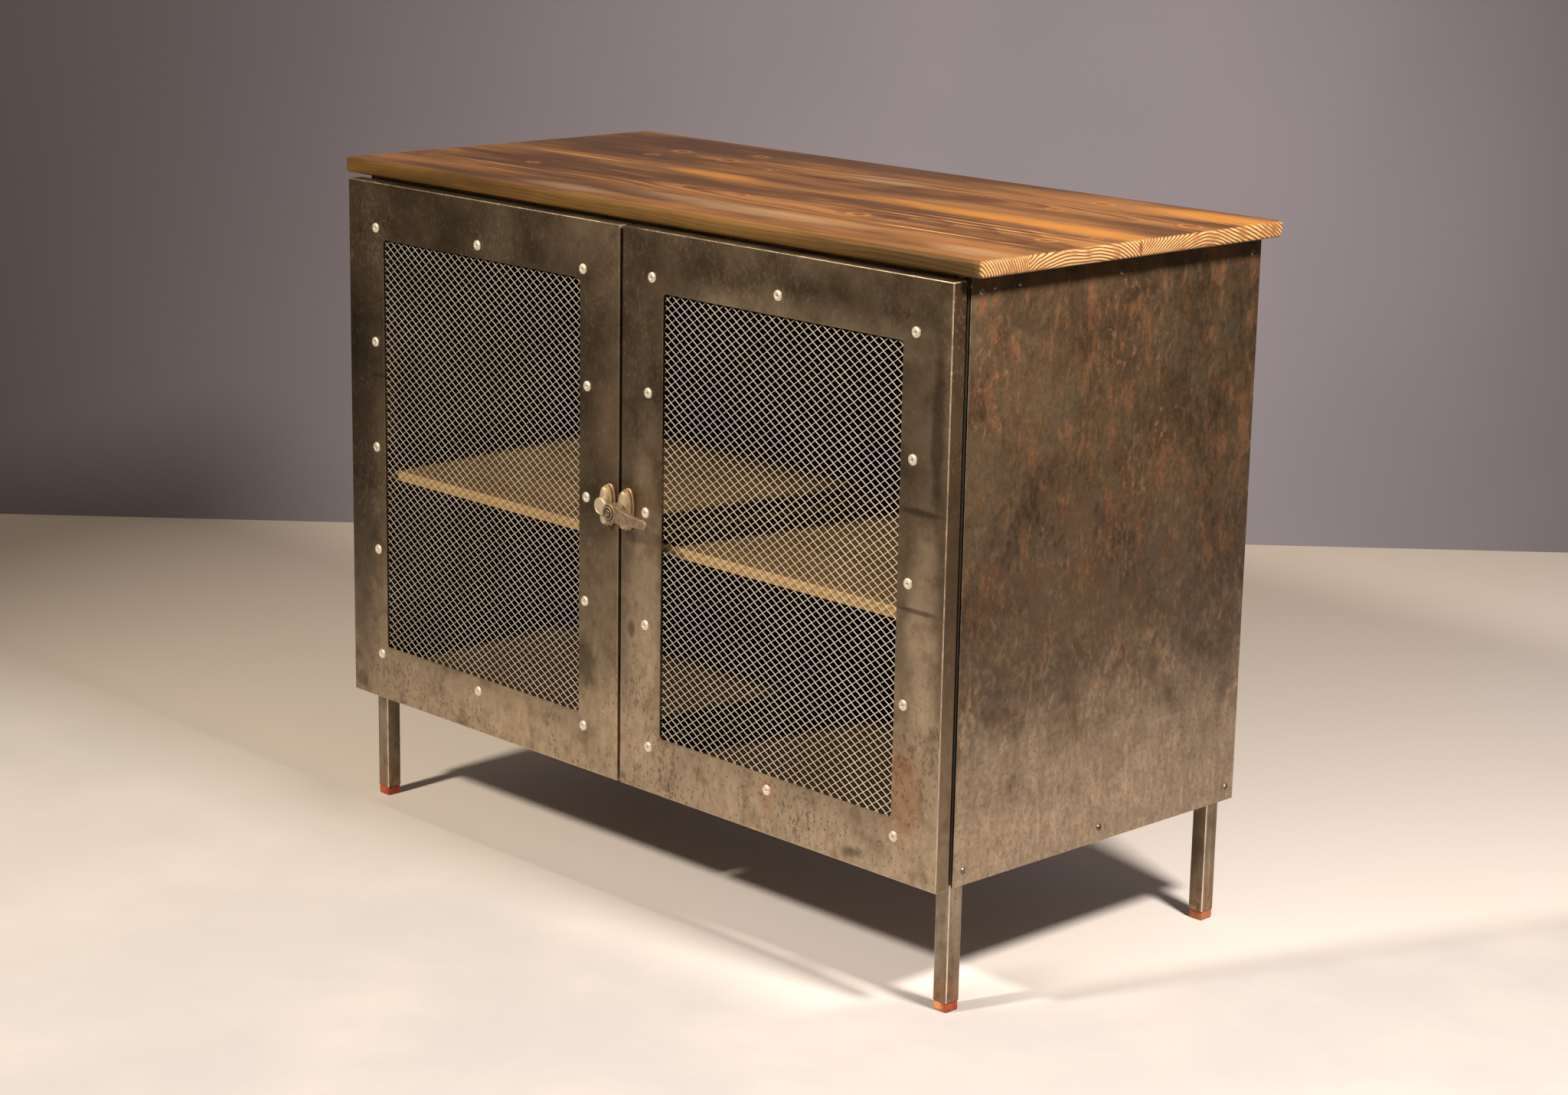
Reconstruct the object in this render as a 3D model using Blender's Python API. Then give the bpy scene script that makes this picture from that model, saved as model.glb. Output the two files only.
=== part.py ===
"""Low industrial cabinet: square-tube legs, sheet-steel sides, two mesh-windowed doors, timber top.

Metres, +Z up, front towards -Y. The floor is z = 0 and the origin is under the middle of the outer box.
Inside the script Y is counted from the doors' front face, and the root empty moves it to the origin.
"""

import math

import bmesh
import bpy
from mathutils import Matrix, Vector

# Driving dimensions: the steel carcass
CARCASS_WIDTH = 0.996
CARCASS_DEPTH = 0.4476
FLOOR_CLEARANCE = 0.1426
LEG_SIZE = 0.020
LEG_RADIUS = 0.0016
TUBE_WALL = 0.0015
RAIL_HEIGHT = 0.030
FOOT_HEIGHT = 0.011
FOOT_INSET = 0.0006
FOOT_CHAMFER = 0.0008
SPIGOT_HEIGHT = 0.012
SIDE_SHEET = 0.002
SIDE_DROP = 0.002
SIDE_SETBACK = 0.0018
BACK_DEPTH = 0.022
BACK_SHEET = 0.0015

# Driving dimensions: timber boards
TOP_THICKNESS = 0.018
TOP_OVERHANG = 0.0307
TOP_FRONT_SETBACK = 0.011
TOP_REAR_OVERHANG = 0.0042
TOP_CORNER_RADIUS = 0.009
TOP_EDGE_RADIUS = 0.004
BOTTOM_THICKNESS = 0.012
SHELF_THICKNESS = 0.0125
SHELF_HEIGHT = 0.2765
SHELF_DOOR_GAP = 0.0015
CLEAT_FLANGE = 0.020
CLEAT_SHEET = 0.002

# Driving dimensions: doors, their mesh and rivets
DOOR_HEIGHT = 0.645
DOOR_DEPTH = 0.019
DOOR_SHEET = 0.0015
DOOR_OVERLAP = 0.0072
DOOR_GAP = 0.005
DOOR_SETOFF = 0.0104
DOOR_TOP_GAP = 0.0045
DOOR_BEND_RADIUS = 0.0015
WINDOW_BORDER = 0.068
WINDOW_RADIUS = 0.004
MESH_LAP = 0.024
MESH_STRAND = 0.0032
MESH_THICKNESS = 0.0016
MESH_COLUMNS = 6
MESH_ROWS = 11
RIVET_RADIUS = 0.0062
RIVET_SHANK_RADIUS = 0.0029
RIVET_SHOULDER_RADIUS = 0.0045
RIVET_RISE = 0.0024
RIVET_SHOULDER_RISE = 0.0019
RIVET_EDGE = 0.0008
RIVET_ROWS = 5
RIVET_INSET_END = 0.053
RIVET_INSET_HINGE = 0.052
RIVET_INSET_FREE = {"left": 0.0575, "right": 0.0455}

# Driving dimensions: concealed cranked hinges
HINGE_INSET = 0.009
HINGE_DEPTH = 0.0095
HINGE_END_DISTANCE = 0.110
STRAP_HEIGHT = 0.024
STRAP_THICKNESS = 0.003
STRAP_BEND_RADIUS = 0.0015
STRAP_FOOT_LENGTH = 0.0165
EYE_RADIUS = 0.0045
PIN_RADIUS = 0.0025
PIN_HEAD_RADIUS = 0.0038
PIN_HEAD_HEIGHT = 0.0015
PIN_TAIL = 0.002
BRACKET_SHEET = 0.002
BRACKET_WIDTH = 0.010
BRACKET_REACH = 0.0048
BRACKET_ROUNDING = 0.0028
SWEEP_CLEARANCE = 0.001

# Driving dimensions: lever latch
LATCH_HEIGHT = 0.3257
LATCH_FROM_MIDDLE = {"left": 0.0146, "right": 0.0175}
ROSETTE_WIDTH = 0.0195
ROSETTE_HEIGHT = 0.049
ROSETTE_FULLNESS = 2.4
ROSETTE_BASE = 0.004
ROSETTE_STEP = 0.0043
ROSETTE_FACE = 0.0042
ROSETTE_STEP_INSET = 0.0011
ROSETTE_FACE_INSET = 0.0016
STUD_RADIUS = 0.0102
STUD_RISE = 0.0045
STUD_EDGE = 0.0012
POST_RADIUS = 0.0040
NECK_FOOT_RADIUS = 0.0066
NECK_RADIUS = 0.0098
NECK_ROUNDING = 0.0035
NECK_LENGTH = 0.0107
HUB_RADIUS = 0.0109
HUB_THICKNESS = 0.0084
HUB_CHAMFER = 0.0012
RECESS_RADIUS = 0.0084
RECESS_DEPTH = 0.0012
ARM_REACH = 0.0615
ARM_TIP_TOP = 0.0006
ARM_TIP_BOTTOM = 0.0088
ARM_DROOP_LENGTH = 0.018
ARM_WRAP = 72
ARM_THICKNESS = 0.0080
ARM_TIP_THINNING = 0.0044
ARM_BEVEL = 0.0012
TONGUE_REACH = 0.0195
TONGUE_HEIGHT = 0.010
TONGUE_THICKNESS = 0.004
TONGUE_ROUNDING = 0.003
CAP_RADIUS = 0.0080
CAP_RISE = 0.0016
CAP_GROOVE = 0.0022
CAP_SCREW_RADIUS = 0.0036

# Named clearances
SEAT = 0.0003
RUN = 0.0004
FIT = 0.0005

# How finely round shapes are cut, and how close two lengths are to count as equal
ROUND_SEGMENTS = 12
HUB_SEGMENTS = 24
OVAL_SEGMENTS = 24
RIVET_SEGMENTS = 10
ARC_SEGMENTS = 6
CORNER_SEGMENTS = 4
BEND_SEGMENTS = 3
EASE_SEGMENTS = 2
SMOOTH_ANGLE = 40
TOUCH = 1e-6

# Levels worked out from the driving dimensions
CARCASS_FRONT = DOOR_DEPTH + DOOR_SETOFF
CARCASS_REAR = CARCASS_FRONT + CARCASS_DEPTH
BACK_FRONT = CARCASS_REAR + SEAT
BACK_REAR = BACK_FRONT + BACK_DEPTH
HALF_WIDTH = CARCASS_WIDTH / 2
LEG_INNER = HALF_WIDTH - LEG_SIZE
DOOR_BOTTOM = FLOOR_CLEARANCE
DOOR_TOP = DOOR_BOTTOM + DOOR_HEIGHT
DOOR_OUTER = HALF_WIDTH + DOOR_OVERLAP
DOOR_INNER = DOOR_GAP / 2
TOP_UNDERSIDE = DOOR_TOP + DOOR_TOP_GAP
FRAME_TOP = TOP_UNDERSIDE - SEAT
SHELF_UNDERSIDE = DOOR_BOTTOM + SHELF_HEIGHT
HINGE_X = DOOR_OUTER - HINGE_INSET
LATCH_Z = DOOR_BOTTOM + LATCH_HEIGHT
ROSETTE_FRONT = SEAT + ROSETTE_BASE + ROSETTE_STEP + ROSETTE_FACE
NECK_BACK = ROSETTE_FRONT + SEAT
HUB_BACK = NECK_BACK + NECK_LENGTH
HUB_FRONT = HUB_BACK + HUB_THICKNESS
CAP_BACK = HUB_FRONT - RECESS_DEPTH + SEAT
LATCH_FRONT = CAP_BACK + RECESS_DEPTH + CAP_RISE
TOP_REAR = BACK_REAR + TOP_REAR_OVERHANG
ORIGIN_SHIFT = (LATCH_FRONT - TOP_REAR) / 2

SIDES = {"left": -1, "right": 1}

# Materials: base colour, roughness and metallic value of each finish
FINISHES = {
    "bare_steel": ((0.16, 0.13, 0.10), 0.45, 0.9),
    "rusty_steel": ((0.14, 0.10, 0.07), 0.60, 0.7),
    "pale_mesh": ((0.55, 0.49, 0.43), 0.50, 0.8),
    "stained_pine": ((0.34, 0.17, 0.06), 0.45, 0.0),
    "shelf_board": ((0.42, 0.25, 0.10), 0.55, 0.0),
    "orange_foot": ((0.55, 0.10, 0.03), 0.60, 0.0),
    "cast_zinc": ((0.30, 0.24, 0.19), 0.42, 0.9),
    "worn_brass": ((0.52, 0.42, 0.24), 0.35, 0.95),
    "hinge_steel": ((0.22, 0.20, 0.18), 0.40, 0.95),
}


def finish(name):
    """The Principled material of one finish, made once."""
    if name in bpy.data.materials:
        return bpy.data.materials[name]
    colour, roughness, metallic = FINISHES[name]
    made = bpy.data.materials.new(name)
    made.use_nodes = True
    shader = made.node_tree.nodes["Principled BSDF"]
    shader.inputs["Base Color"].default_value = (*colour, 1)
    shader.inputs["Roughness"].default_value = roughness
    shader.inputs["Metallic"].default_value = metallic
    return made


# Objects and Booleans


def add_empty(name, place, parent=None):
    """An empty at a place given in the cabinet's own coordinates, for pieces that move about it."""
    empty = bpy.data.objects.new(name, None)
    bpy.context.scene.collection.objects.link(empty)
    empty["place"] = place
    empty.parent = parent
    empty.location = Vector(place) - (Vector(parent["place"]) if parent else Vector())
    return empty


def add_piece(name, bm, finish_name, parent, smooth=False):
    """Turns a bmesh drawn in the cabinet's coordinates into a named object under its parent empty."""
    bmesh.ops.recalc_face_normals(bm, faces=bm.faces[:])
    mesh = bpy.data.meshes.new(name)
    bm.to_mesh(mesh)
    bm.free()
    if smooth:
        mesh.shade_smooth()
        mesh.set_sharp_from_angle(angle=math.radians(SMOOTH_ANGLE))
    piece = bpy.data.objects.new(name, mesh)
    bpy.context.scene.collection.objects.link(piece)
    piece.data.materials.append(finish(finish_name))
    piece.parent = parent
    piece.location = -Vector(parent["place"])
    return piece


def add_boolean(piece, bm, operation):
    """Joins to the piece, or cuts from it, a shape drawn in the cabinet's coordinates."""
    name = f"{piece.name}.{operation.lower()}{len(piece.modifiers)}"
    helper = add_piece(name, bm, "bare_steel", piece.parent)
    helper.hide_render = True
    helper.display_type = "WIRE"
    modifier = piece.modifiers.new(operation.title(), "BOOLEAN")
    modifier.operation = operation
    modifier.solver = "EXACT"
    modifier.object = helper


# Shapes


def box(bm, low, high):
    """A box between two corners."""
    low, high = Vector(low), Vector(high)
    place = Matrix.Translation((low + high) / 2) @ Matrix.Diagonal((*(high - low), 1))
    return bmesh.ops.create_cube(bm, size=1, matrix=place)["verts"]


def prism(bm, outline, direction):
    """A closed outline of 3-D points, swept along a direction."""
    face = bm.faces.new([bm.verts.new(point) for point in outline])
    swept = bmesh.ops.extrude_face_region(bm, geom=[face], use_keep_orig=True)["geom"]
    points = [item for item in swept if isinstance(item, bmesh.types.BMVert)]
    bmesh.ops.translate(bm, verts=points, vec=direction)
    return [*face.verts, *points]


def arc(centre, radius, start, end, segments):
    """Points of an arc in a plane, with its angles in degrees."""
    steps = [math.radians(start + (end - start) * i / segments) for i in range(segments + 1)]
    return [(centre[0] + radius * math.cos(a), centre[1] + radius * math.sin(a)) for a in steps]


def rounded_rectangle(width, height, radius):
    """A rectangle round (0, 0) with three points on each rounded corner."""
    points = []
    for start, sign_x, sign_y in ((0, 1, 1), (90, -1, 1), (180, -1, -1), (270, 1, -1)):
        centre = (sign_x * (width / 2 - radius), sign_y * (height / 2 - radius))
        points += arc(centre, radius, start, start + 90, 2)
    return points


def oval(width, height):
    """An upright oval round (0, 0), fuller than an ellipse."""
    points = []
    for u, v in arc((0, 0), 1, 0, 360, OVAL_SEGMENTS)[:-1]:
        full = [math.copysign(abs(part) ** (2 / ROSETTE_FULLNESS), part) for part in (u, v)]
        points.append((full[0] * width / 2, full[1] * height / 2))
    return points


def tube(bm, axis, centre, span, width, height):
    """A rectangular tube along X, Y or Z, open at both ends. Width and height follow the other two axes."""
    across = [index for index in range(3) if index != axis]
    rings = []
    inner_radius = max(LEG_RADIUS - TUBE_WALL, LEG_RADIUS / 4)
    inner = rounded_rectangle(width - 2 * TUBE_WALL, height - 2 * TUBE_WALL, inner_radius)
    for loop in (rounded_rectangle(width, height, LEG_RADIUS), inner):
        points = []
        for u, v in loop:
            point = Vector()
            point[across[0]] = centre[0] + u
            point[across[1]] = centre[1] + v
            point[axis] = span[0]
            points.append(bm.verts.new(point))
        rings.append([bm.edges.new(pair) for pair in zip(points, points[1:] + points[:1])])
    wall = bmesh.ops.bridge_loops(bm, edges=rings[0] + rings[1])["faces"]
    swept = bmesh.ops.extrude_face_region(bm, geom=wall, use_keep_orig=True)["geom"]
    along = Vector()
    along[axis] = span[1] - span[0]
    bmesh.ops.translate(bm, verts=[v for v in swept if isinstance(v, bmesh.types.BMVert)], vec=along)


def turned(bm, profile, place, direction, segments):
    """Turns a profile of (radius, distance) points about a line. A radius of 0 closes an end at a point."""
    across = Vector(direction).orthogonal().normalized()
    along = Vector(direction).normalized()
    start = Vector(place)
    points = [bm.verts.new(start + across * r + along * d) for r, d in profile]
    edges = [bm.edges.new(pair) for pair in zip(points, points[1:])]
    if profile[0][0] and profile[-1][0]:
        edges.append(bm.edges.new((points[-1], points[0])))
    whole = {"angle": math.tau, "steps": segments, "use_merge": True}
    bmesh.ops.spin(bm, geom=points + edges, cent=start, axis=along, **whole)
    bmesh.ops.remove_doubles(bm, verts=bm.verts[:], dist=TOUCH)


def edges_along(bm, verts, axis):
    """The edges among some vertices that run along one axis."""
    chosen = set(verts)
    others = [index for index in range(3) if index != axis]
    found = []
    for edge in bm.edges:
        ends = edge.verts
        flat = all(abs(ends[0].co[i] - ends[1].co[i]) < TOUCH for i in others)
        if flat and ends[0] in chosen and ends[1] in chosen:
            found.append(edge)
    return found


def round_edges(bm, edges, radius, segments):
    rounding = {"offset": radius, "segments": segments, "profile": 0.5}
    bmesh.ops.bevel(bm, geom=edges, affect="EDGES", material=-1, **rounding)


def folded_pan(bm, low, high, sheet, open_side):
    """A sheet folded into a shallow tray, open towards -Y (-1) or +Y (1)."""
    box(bm, low, high)
    mouth = max(bm.faces, key=lambda face: open_side * face.calc_center_median().y)
    bmesh.ops.inset_region(bm, faces=[mouth], thickness=sheet, use_even_offset=True)
    floor = bmesh.ops.extrude_discrete_faces(bm, faces=[mouth])["faces"][0]
    depth = high[1] - low[1] - sheet
    bmesh.ops.translate(bm, verts=floor.verts[:], vec=(0, -open_side * depth, 0))


# Carcass pieces


def make_legs(root):
    for side, sign in SIDES.items():
        for end, y in (("front", CARCASS_FRONT + LEG_SIZE / 2), ("rear", CARCASS_REAR - LEG_SIZE / 2)):
            x = sign * (HALF_WIDTH - LEG_SIZE / 2)
            bm = bmesh.new()
            tube(bm, 2, (x, y), (FOOT_HEIGHT, FRAME_TOP), LEG_SIZE, LEG_SIZE)
            add_piece(f"leg_{end}_{side}", bm, "bare_steel", root, smooth=True)
            make_foot(f"foot_{end}_{side}", x, y, root)


def make_foot(name, x, y, root):
    """A plug whose spigot sits in the open end of the leg."""
    half = LEG_SIZE / 2 - FOOT_INSET
    bm = bmesh.new()
    box(bm, (x - half, y - half, 0), (x + half, y + half, FOOT_HEIGHT - SEAT))
    top = max(bm.faces, key=lambda face: face.calc_center_median().z)
    shoulder = half - (LEG_SIZE / 2 - TUBE_WALL - RUN)
    bmesh.ops.inset_region(bm, faces=[top], thickness=shoulder, use_even_offset=True)
    spigot = bmesh.ops.extrude_discrete_faces(bm, faces=[top])["faces"][0]
    bmesh.ops.translate(bm, verts=spigot.verts[:], vec=(0, 0, SPIGOT_HEIGHT))
    ground = [edge for edge in bm.edges if all(abs(v.co.z) < TOUCH for v in edge.verts)]
    round_edges(bm, ground, FOOT_CHAMFER, 1)
    add_piece(name, bm, "orange_foot", root)


def make_rails(root):
    """The eight rails between the legs, four at the bottom and four at the top."""
    front_y = CARCASS_FRONT + LEG_SIZE / 2
    rear_y = CARCASS_REAR - LEG_SIZE / 2
    side_x = HALF_WIDTH - LEG_SIZE / 2
    levels = {"bottom": FLOOR_CLEARANCE + RAIL_HEIGHT / 2, "top": FRAME_TOP - RAIL_HEIGHT / 2}
    for level, z in levels.items():
        for end, y in (("front", front_y), ("rear", rear_y)):
            bm = bmesh.new()
            tube(bm, 0, (y, z), (SEAT - LEG_INNER, LEG_INNER - SEAT), LEG_SIZE, RAIL_HEIGHT)
            add_piece(f"rail_{level}_{end}", bm, "bare_steel", root, smooth=True)
        for side, sign in SIDES.items():
            span = (CARCASS_FRONT + LEG_SIZE + SEAT, CARCASS_REAR - LEG_SIZE - SEAT)
            bm = bmesh.new()
            tube(bm, 1, (sign * side_x, z), span, LEG_SIZE, RAIL_HEIGHT)
            add_piece(f"rail_{level}_{side}", bm, "bare_steel", root, smooth=True)


def make_side_panels(root):
    for side, sign in SIDES.items():
        faces = sorted((sign * (HALF_WIDTH + SEAT), sign * (HALF_WIDTH + SEAT + SIDE_SHEET)))
        bm = bmesh.new()
        low = (faces[0], CARCASS_FRONT + SIDE_SETBACK, FLOOR_CLEARANCE - SIDE_DROP)
        box(bm, low, (faces[1], BACK_REAR, FRAME_TOP))
        add_piece(f"side_panel_{side}", bm, "rusty_steel", root)


def make_back_panel(root):
    """A shallow tray behind the rear legs. The side panels are screwed to its side flanges."""
    bm = bmesh.new()
    low = (-HALF_WIDTH, BACK_FRONT, FLOOR_CLEARANCE)
    folded_pan(bm, low, (HALF_WIDTH, BACK_REAR, FRAME_TOP), BACK_SHEET, -1)
    add_piece("back_panel", bm, "rusty_steel", root)


def make_bottom_board(root):
    """Lies on the four bottom rails, with its corners cut away round the legs."""
    x, inner = HALF_WIDTH - FIT, LEG_INNER - FIT
    front, rear = CARCASS_FRONT, CARCASS_REAR
    notch_front, notch_rear = front + LEG_SIZE + FIT, rear - LEG_SIZE - FIT
    right = [(inner, front), (inner, notch_front), (x, notch_front)]
    right += [(x, notch_rear), (inner, notch_rear), (inner, rear)]
    plan = right + [(-u, v) for u, v in reversed(right)]
    z = FLOOR_CLEARANCE + RAIL_HEIGHT + SEAT
    bm = bmesh.new()
    prism(bm, [(u, v, z) for u, v in plan], (0, 0, BOTTOM_THICKNESS))
    add_piece("bottom_board", bm, "shelf_board", root)


def make_shelf(root):
    """A loose board between the legs, on an angle cleat at each end, that runs up to the closed doors."""
    x, rear = LEG_INNER - FIT, CARCASS_REAR - FIT
    bm = bmesh.new()
    low = (-x, DOOR_DEPTH + SHELF_DOOR_GAP, SHELF_UNDERSIDE)
    box(bm, low, (x, rear, SHELF_UNDERSIDE + SHELF_THICKNESS))
    add_piece("shelf", bm, "shelf_board", root)
    for side, sign in SIDES.items():
        make_cleat(side, sign, root)


def make_cleat(side, sign, root):
    """A steel angle across the inner faces of one side's front and rear legs."""
    x, z = LEG_INNER - SEAT, SHELF_UNDERSIDE - SEAT
    flange, sheet = CLEAT_FLANGE, CLEAT_SHEET
    section = [(0, -flange), (0, 0), (flange, 0), (flange, -sheet), (sheet, -sheet), (sheet, -flange)]
    bm = bmesh.new()
    outline = [(sign * (x - u), CARCASS_FRONT, z + v) for u, v in section]
    prism(bm, outline, (0, CARCASS_DEPTH, 0))
    add_piece(f"shelf_cleat_{side}", bm, "bare_steel", root)


def make_top(root):
    """The timber top, with rounded corners and eased edges."""
    x = HALF_WIDTH + TOP_OVERHANG
    bm = bmesh.new()
    low = (-x, TOP_FRONT_SETBACK, TOP_UNDERSIDE)
    verts = box(bm, low, (x, TOP_REAR, TOP_UNDERSIDE + TOP_THICKNESS))
    round_edges(bm, edges_along(bm, verts, 2), TOP_CORNER_RADIUS, CORNER_SEGMENTS)
    rims = [edge for edge in bm.edges if abs(edge.verts[0].co.z - edge.verts[1].co.z) < TOUCH]
    round_edges(bm, rims, TOP_EDGE_RADIUS, BEND_SEGMENTS)
    add_piece("timber_top", bm, "stained_pine", root, smooth=True)


# Doors


def make_door_pan(side, sign, door):
    """A folded steel pan with a window and its rivet heads."""
    edges_x = sorted((sign * DOOR_INNER, sign * DOOR_OUTER))
    bm = bmesh.new()
    low, high = (edges_x[0], 0, DOOR_BOTTOM), (edges_x[1], DOOR_DEPTH, DOOR_TOP)
    folded_pan(bm, low, high, DOOR_SHEET, 1)
    round_edges(bm, outer_bends(bm, low, high), DOOR_BEND_RADIUS, BEND_SEGMENTS)
    pan = add_piece(f"door_pan_{side}", bm, "bare_steel", door, smooth=True)
    add_boolean(pan, window_punch(sign), "DIFFERENCE")
    add_boolean(pan, rivet_heads(side, sign), "UNION")


def window_punch(sign):
    """A prism through the front sheet, the window's outline with its rounded corners."""
    width = DOOR_OUTER - DOOR_INNER - 2 * WINDOW_BORDER
    outline = rounded_rectangle(width, DOOR_HEIGHT - 2 * WINDOW_BORDER, WINDOW_RADIUS)
    x, z = sign * (DOOR_INNER + DOOR_OUTER) / 2, (DOOR_BOTTOM + DOOR_TOP) / 2
    bm = bmesh.new()
    prism(bm, [(x + u, -DOOR_SHEET, z + v) for u, v in outline], (0, 3 * DOOR_SHEET, 0))
    return bm


def outer_bends(bm, low, high):
    """The edges where the front sheet folds into the flanges, and the four corners of the flanges."""
    found = []
    for edge in bm.edges:
        middle = (edge.verts[0].co + edge.verts[1].co) / 2
        on_x = min(abs(middle.x - low[0]), abs(middle.x - high[0])) < TOUCH
        on_z = min(abs(middle.z - low[2]), abs(middle.z - high[2])) < TOUCH
        on_front = abs(middle.y - low[1]) < TOUCH
        if (on_front and (on_x or on_z)) or (on_x and on_z):
            found.append(edge)
    return found


def rivet_places(side, sign):
    """A row down each stile and one rivet in the middle of the top and bottom borders."""
    low, high = DOOR_BOTTOM + RIVET_INSET_END, DOOR_TOP - RIVET_INSET_END
    rows = [low + (high - low) * i / (RIVET_ROWS - 1) for i in range(RIVET_ROWS)]
    columns = (DOOR_INNER + RIVET_INSET_FREE[side], DOOR_OUTER - RIVET_INSET_HINGE)
    middle = (DOOR_INNER + DOOR_OUTER) / 2
    return [(sign * x, z) for x in columns for z in rows] + [(sign * middle, z) for z in (low, high)]


def rivet_heads(side, sign):
    """Domed heads, each sunk half through the sheet so that it joins to it."""
    profile = [(0, -DOOR_SHEET / 2), (RIVET_SHANK_RADIUS, -DOOR_SHEET / 2), (RIVET_SHANK_RADIUS, 0)]
    profile += [(RIVET_RADIUS, 0), (RIVET_RADIUS, RIVET_EDGE)]
    profile += [(RIVET_SHOULDER_RADIUS, RIVET_SHOULDER_RISE), (0, RIVET_RISE)]
    bm = bmesh.new()
    for x, z in rivet_places(side, sign):
        turned(bm, profile, (x, 0, z), (0, -1, 0), RIVET_SEGMENTS)
    return bm


def make_door_mesh(side, sign, door):
    """Expanded metal behind the window: a lattice of diamonds, inset to strands and given its thickness."""
    lap = WINDOW_BORDER - MESH_LAP
    edges_x = sorted((sign * (DOOR_INNER + lap), sign * (DOOR_OUTER - lap)))
    low = Vector((edges_x[0], DOOR_SHEET + SEAT, DOOR_BOTTOM + lap))
    step_x = (edges_x[1] - edges_x[0]) / (2 * MESH_COLUMNS)
    step_z = (DOOR_HEIGHT - 2 * lap) / (2 * MESH_ROWS)
    bm = bmesh.new()
    knots = {}
    for i in range(2 * MESH_COLUMNS + 1):
        for j in range(2 * MESH_ROWS + 1):
            if (i + j) % 2 == 0:
                knots[i, j] = bm.verts.new(low + Vector((i * step_x, 0, j * step_z)))
    for i in range(2 * MESH_COLUMNS + 1):
        for j in range(2 * MESH_ROWS + 1):
            corners = [knots.get(key) for key in ((i - 1, j), (i, j - 1), (i + 1, j), (i, j + 1))]
            if (i + j) % 2:
                bm.faces.new([knot for knot in corners if knot])
    diamonds = bm.faces[:]
    bm.normal_update()
    bmesh.ops.inset_individual(bm, faces=diamonds, thickness=MESH_STRAND / 2, use_even_offset=True)
    bmesh.ops.delete(bm, geom=diamonds, context="FACES")
    swept = bmesh.ops.extrude_face_region(bm, geom=bm.faces[:], use_keep_orig=True)["geom"]
    points = [item for item in swept if isinstance(item, bmesh.types.BMVert)]
    bmesh.ops.translate(bm, verts=points, vec=(0, MESH_THICKNESS, 0))
    add_piece(f"door_mesh_{side}", bm, "pale_mesh", door)


# Hinges


def make_hinges(side, sign, root, door):
    heights = {"lower": DOOR_BOTTOM + HINGE_END_DISTANCE, "upper": DOOR_TOP - HINGE_END_DISTANCE}
    for level, z in heights.items():
        make_hinge_strap(f"hinge_strap_{level}_{side}", sign, z, root)
        make_hinge_bracket(f"hinge_bracket_{level}_{side}", sign, z, door)
        make_hinge_pin(f"hinge_pin_{level}_{side}", sign, z, door)


def make_hinge_strap(name, sign, z, root):
    """A cranked strap: a foot on the leg, an arm into the door, and an eye rolled round the pin.

    The arm stands outside the circle that the door's rear corner sweeps, so the door can turn past it."""
    sweep = math.hypot(HINGE_INSET, max(HINGE_DEPTH, DOOR_DEPTH - HINGE_DEPTH))
    arm = HINGE_X - sweep - SWEEP_CLEARANCE
    rear = CARCASS_FRONT - SEAT
    front = HINGE_DEPTH - EYE_RADIUS
    foot_end = arm - STRAP_THICKNESS + STRAP_FOOT_LENGTH
    plan = [(arm - STRAP_THICKNESS, rear), (foot_end, rear), (foot_end, rear - STRAP_THICKNESS)]
    plan += [(arm, rear - STRAP_THICKNESS), (arm, front + STRAP_THICKNESS)]
    plan += [(HINGE_X, front + STRAP_THICKNESS), (HINGE_X, front), (arm - STRAP_THICKNESS, front)]
    low = z - STRAP_HEIGHT / 2
    bm = bmesh.new()
    verts = prism(bm, [(sign * u, v, low) for u, v in plan], (0, 0, STRAP_HEIGHT))
    bends = [e for e in edges_along(bm, verts, 2) if abs(abs(e.verts[0].co.x) - HINGE_X) > FIT]
    outer = [e for e in bends if abs(abs(e.verts[0].co.x) - foot_end) > FIT]
    round_edges(bm, outer, STRAP_BEND_RADIUS, EASE_SEGMENTS)
    strap = add_piece(name, bm, "hinge_steel", root, smooth=True)
    add_boolean(strap, upright_cylinder(sign, low, low + STRAP_HEIGHT, EYE_RADIUS), "UNION")
    high, over = low + STRAP_HEIGHT, STRAP_HEIGHT / 4
    add_boolean(strap, upright_cylinder(sign, low - over, high + over, PIN_RADIUS + RUN), "DIFFERENCE")


def upright_cylinder(sign, low, high, radius):
    """A cylinder on the hinge's axis."""
    bm = bmesh.new()
    profile = [(0, 0), (radius, 0), (radius, high - low), (0, high - low)]
    turned(bm, profile, (sign * HINGE_X, HINGE_DEPTH, low), (0, 0, 1), ROUND_SEGMENTS)
    return bm


def make_hinge_bracket(name, sign, z, door):
    """A channel welded in the door's side flange, whose two lugs hold the pin above and below the eye."""
    back = DOOR_OUTER - DOOR_SHEET - SEAT
    nose = HINGE_X - BRACKET_REACH
    gap = STRAP_HEIGHT / 2 + RUN
    outer = gap + BRACKET_SHEET
    section = [(back, -outer), (back, outer), (nose, outer), (nose, gap), (back - BRACKET_SHEET, gap)]
    section += [(back - BRACKET_SHEET, -gap), (nose, -gap), (nose, -outer)]
    front = HINGE_DEPTH - BRACKET_WIDTH / 2
    bm = bmesh.new()
    verts = prism(bm, [(sign * u, front, z + v) for u, v in section], (0, BRACKET_WIDTH, 0))
    noses = [e for e in edges_along(bm, verts, 2) if abs(abs(e.verts[0].co.x) - nose) < TOUCH]
    round_edges(bm, noses, BRACKET_ROUNDING, BEND_SEGMENTS)
    bracket = add_piece(name, bm, "hinge_steel", door, smooth=True)
    over = outer + BRACKET_SHEET
    add_boolean(bracket, upright_cylinder(sign, z - over, z + over, PIN_RADIUS + SEAT), "DIFFERENCE")


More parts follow.
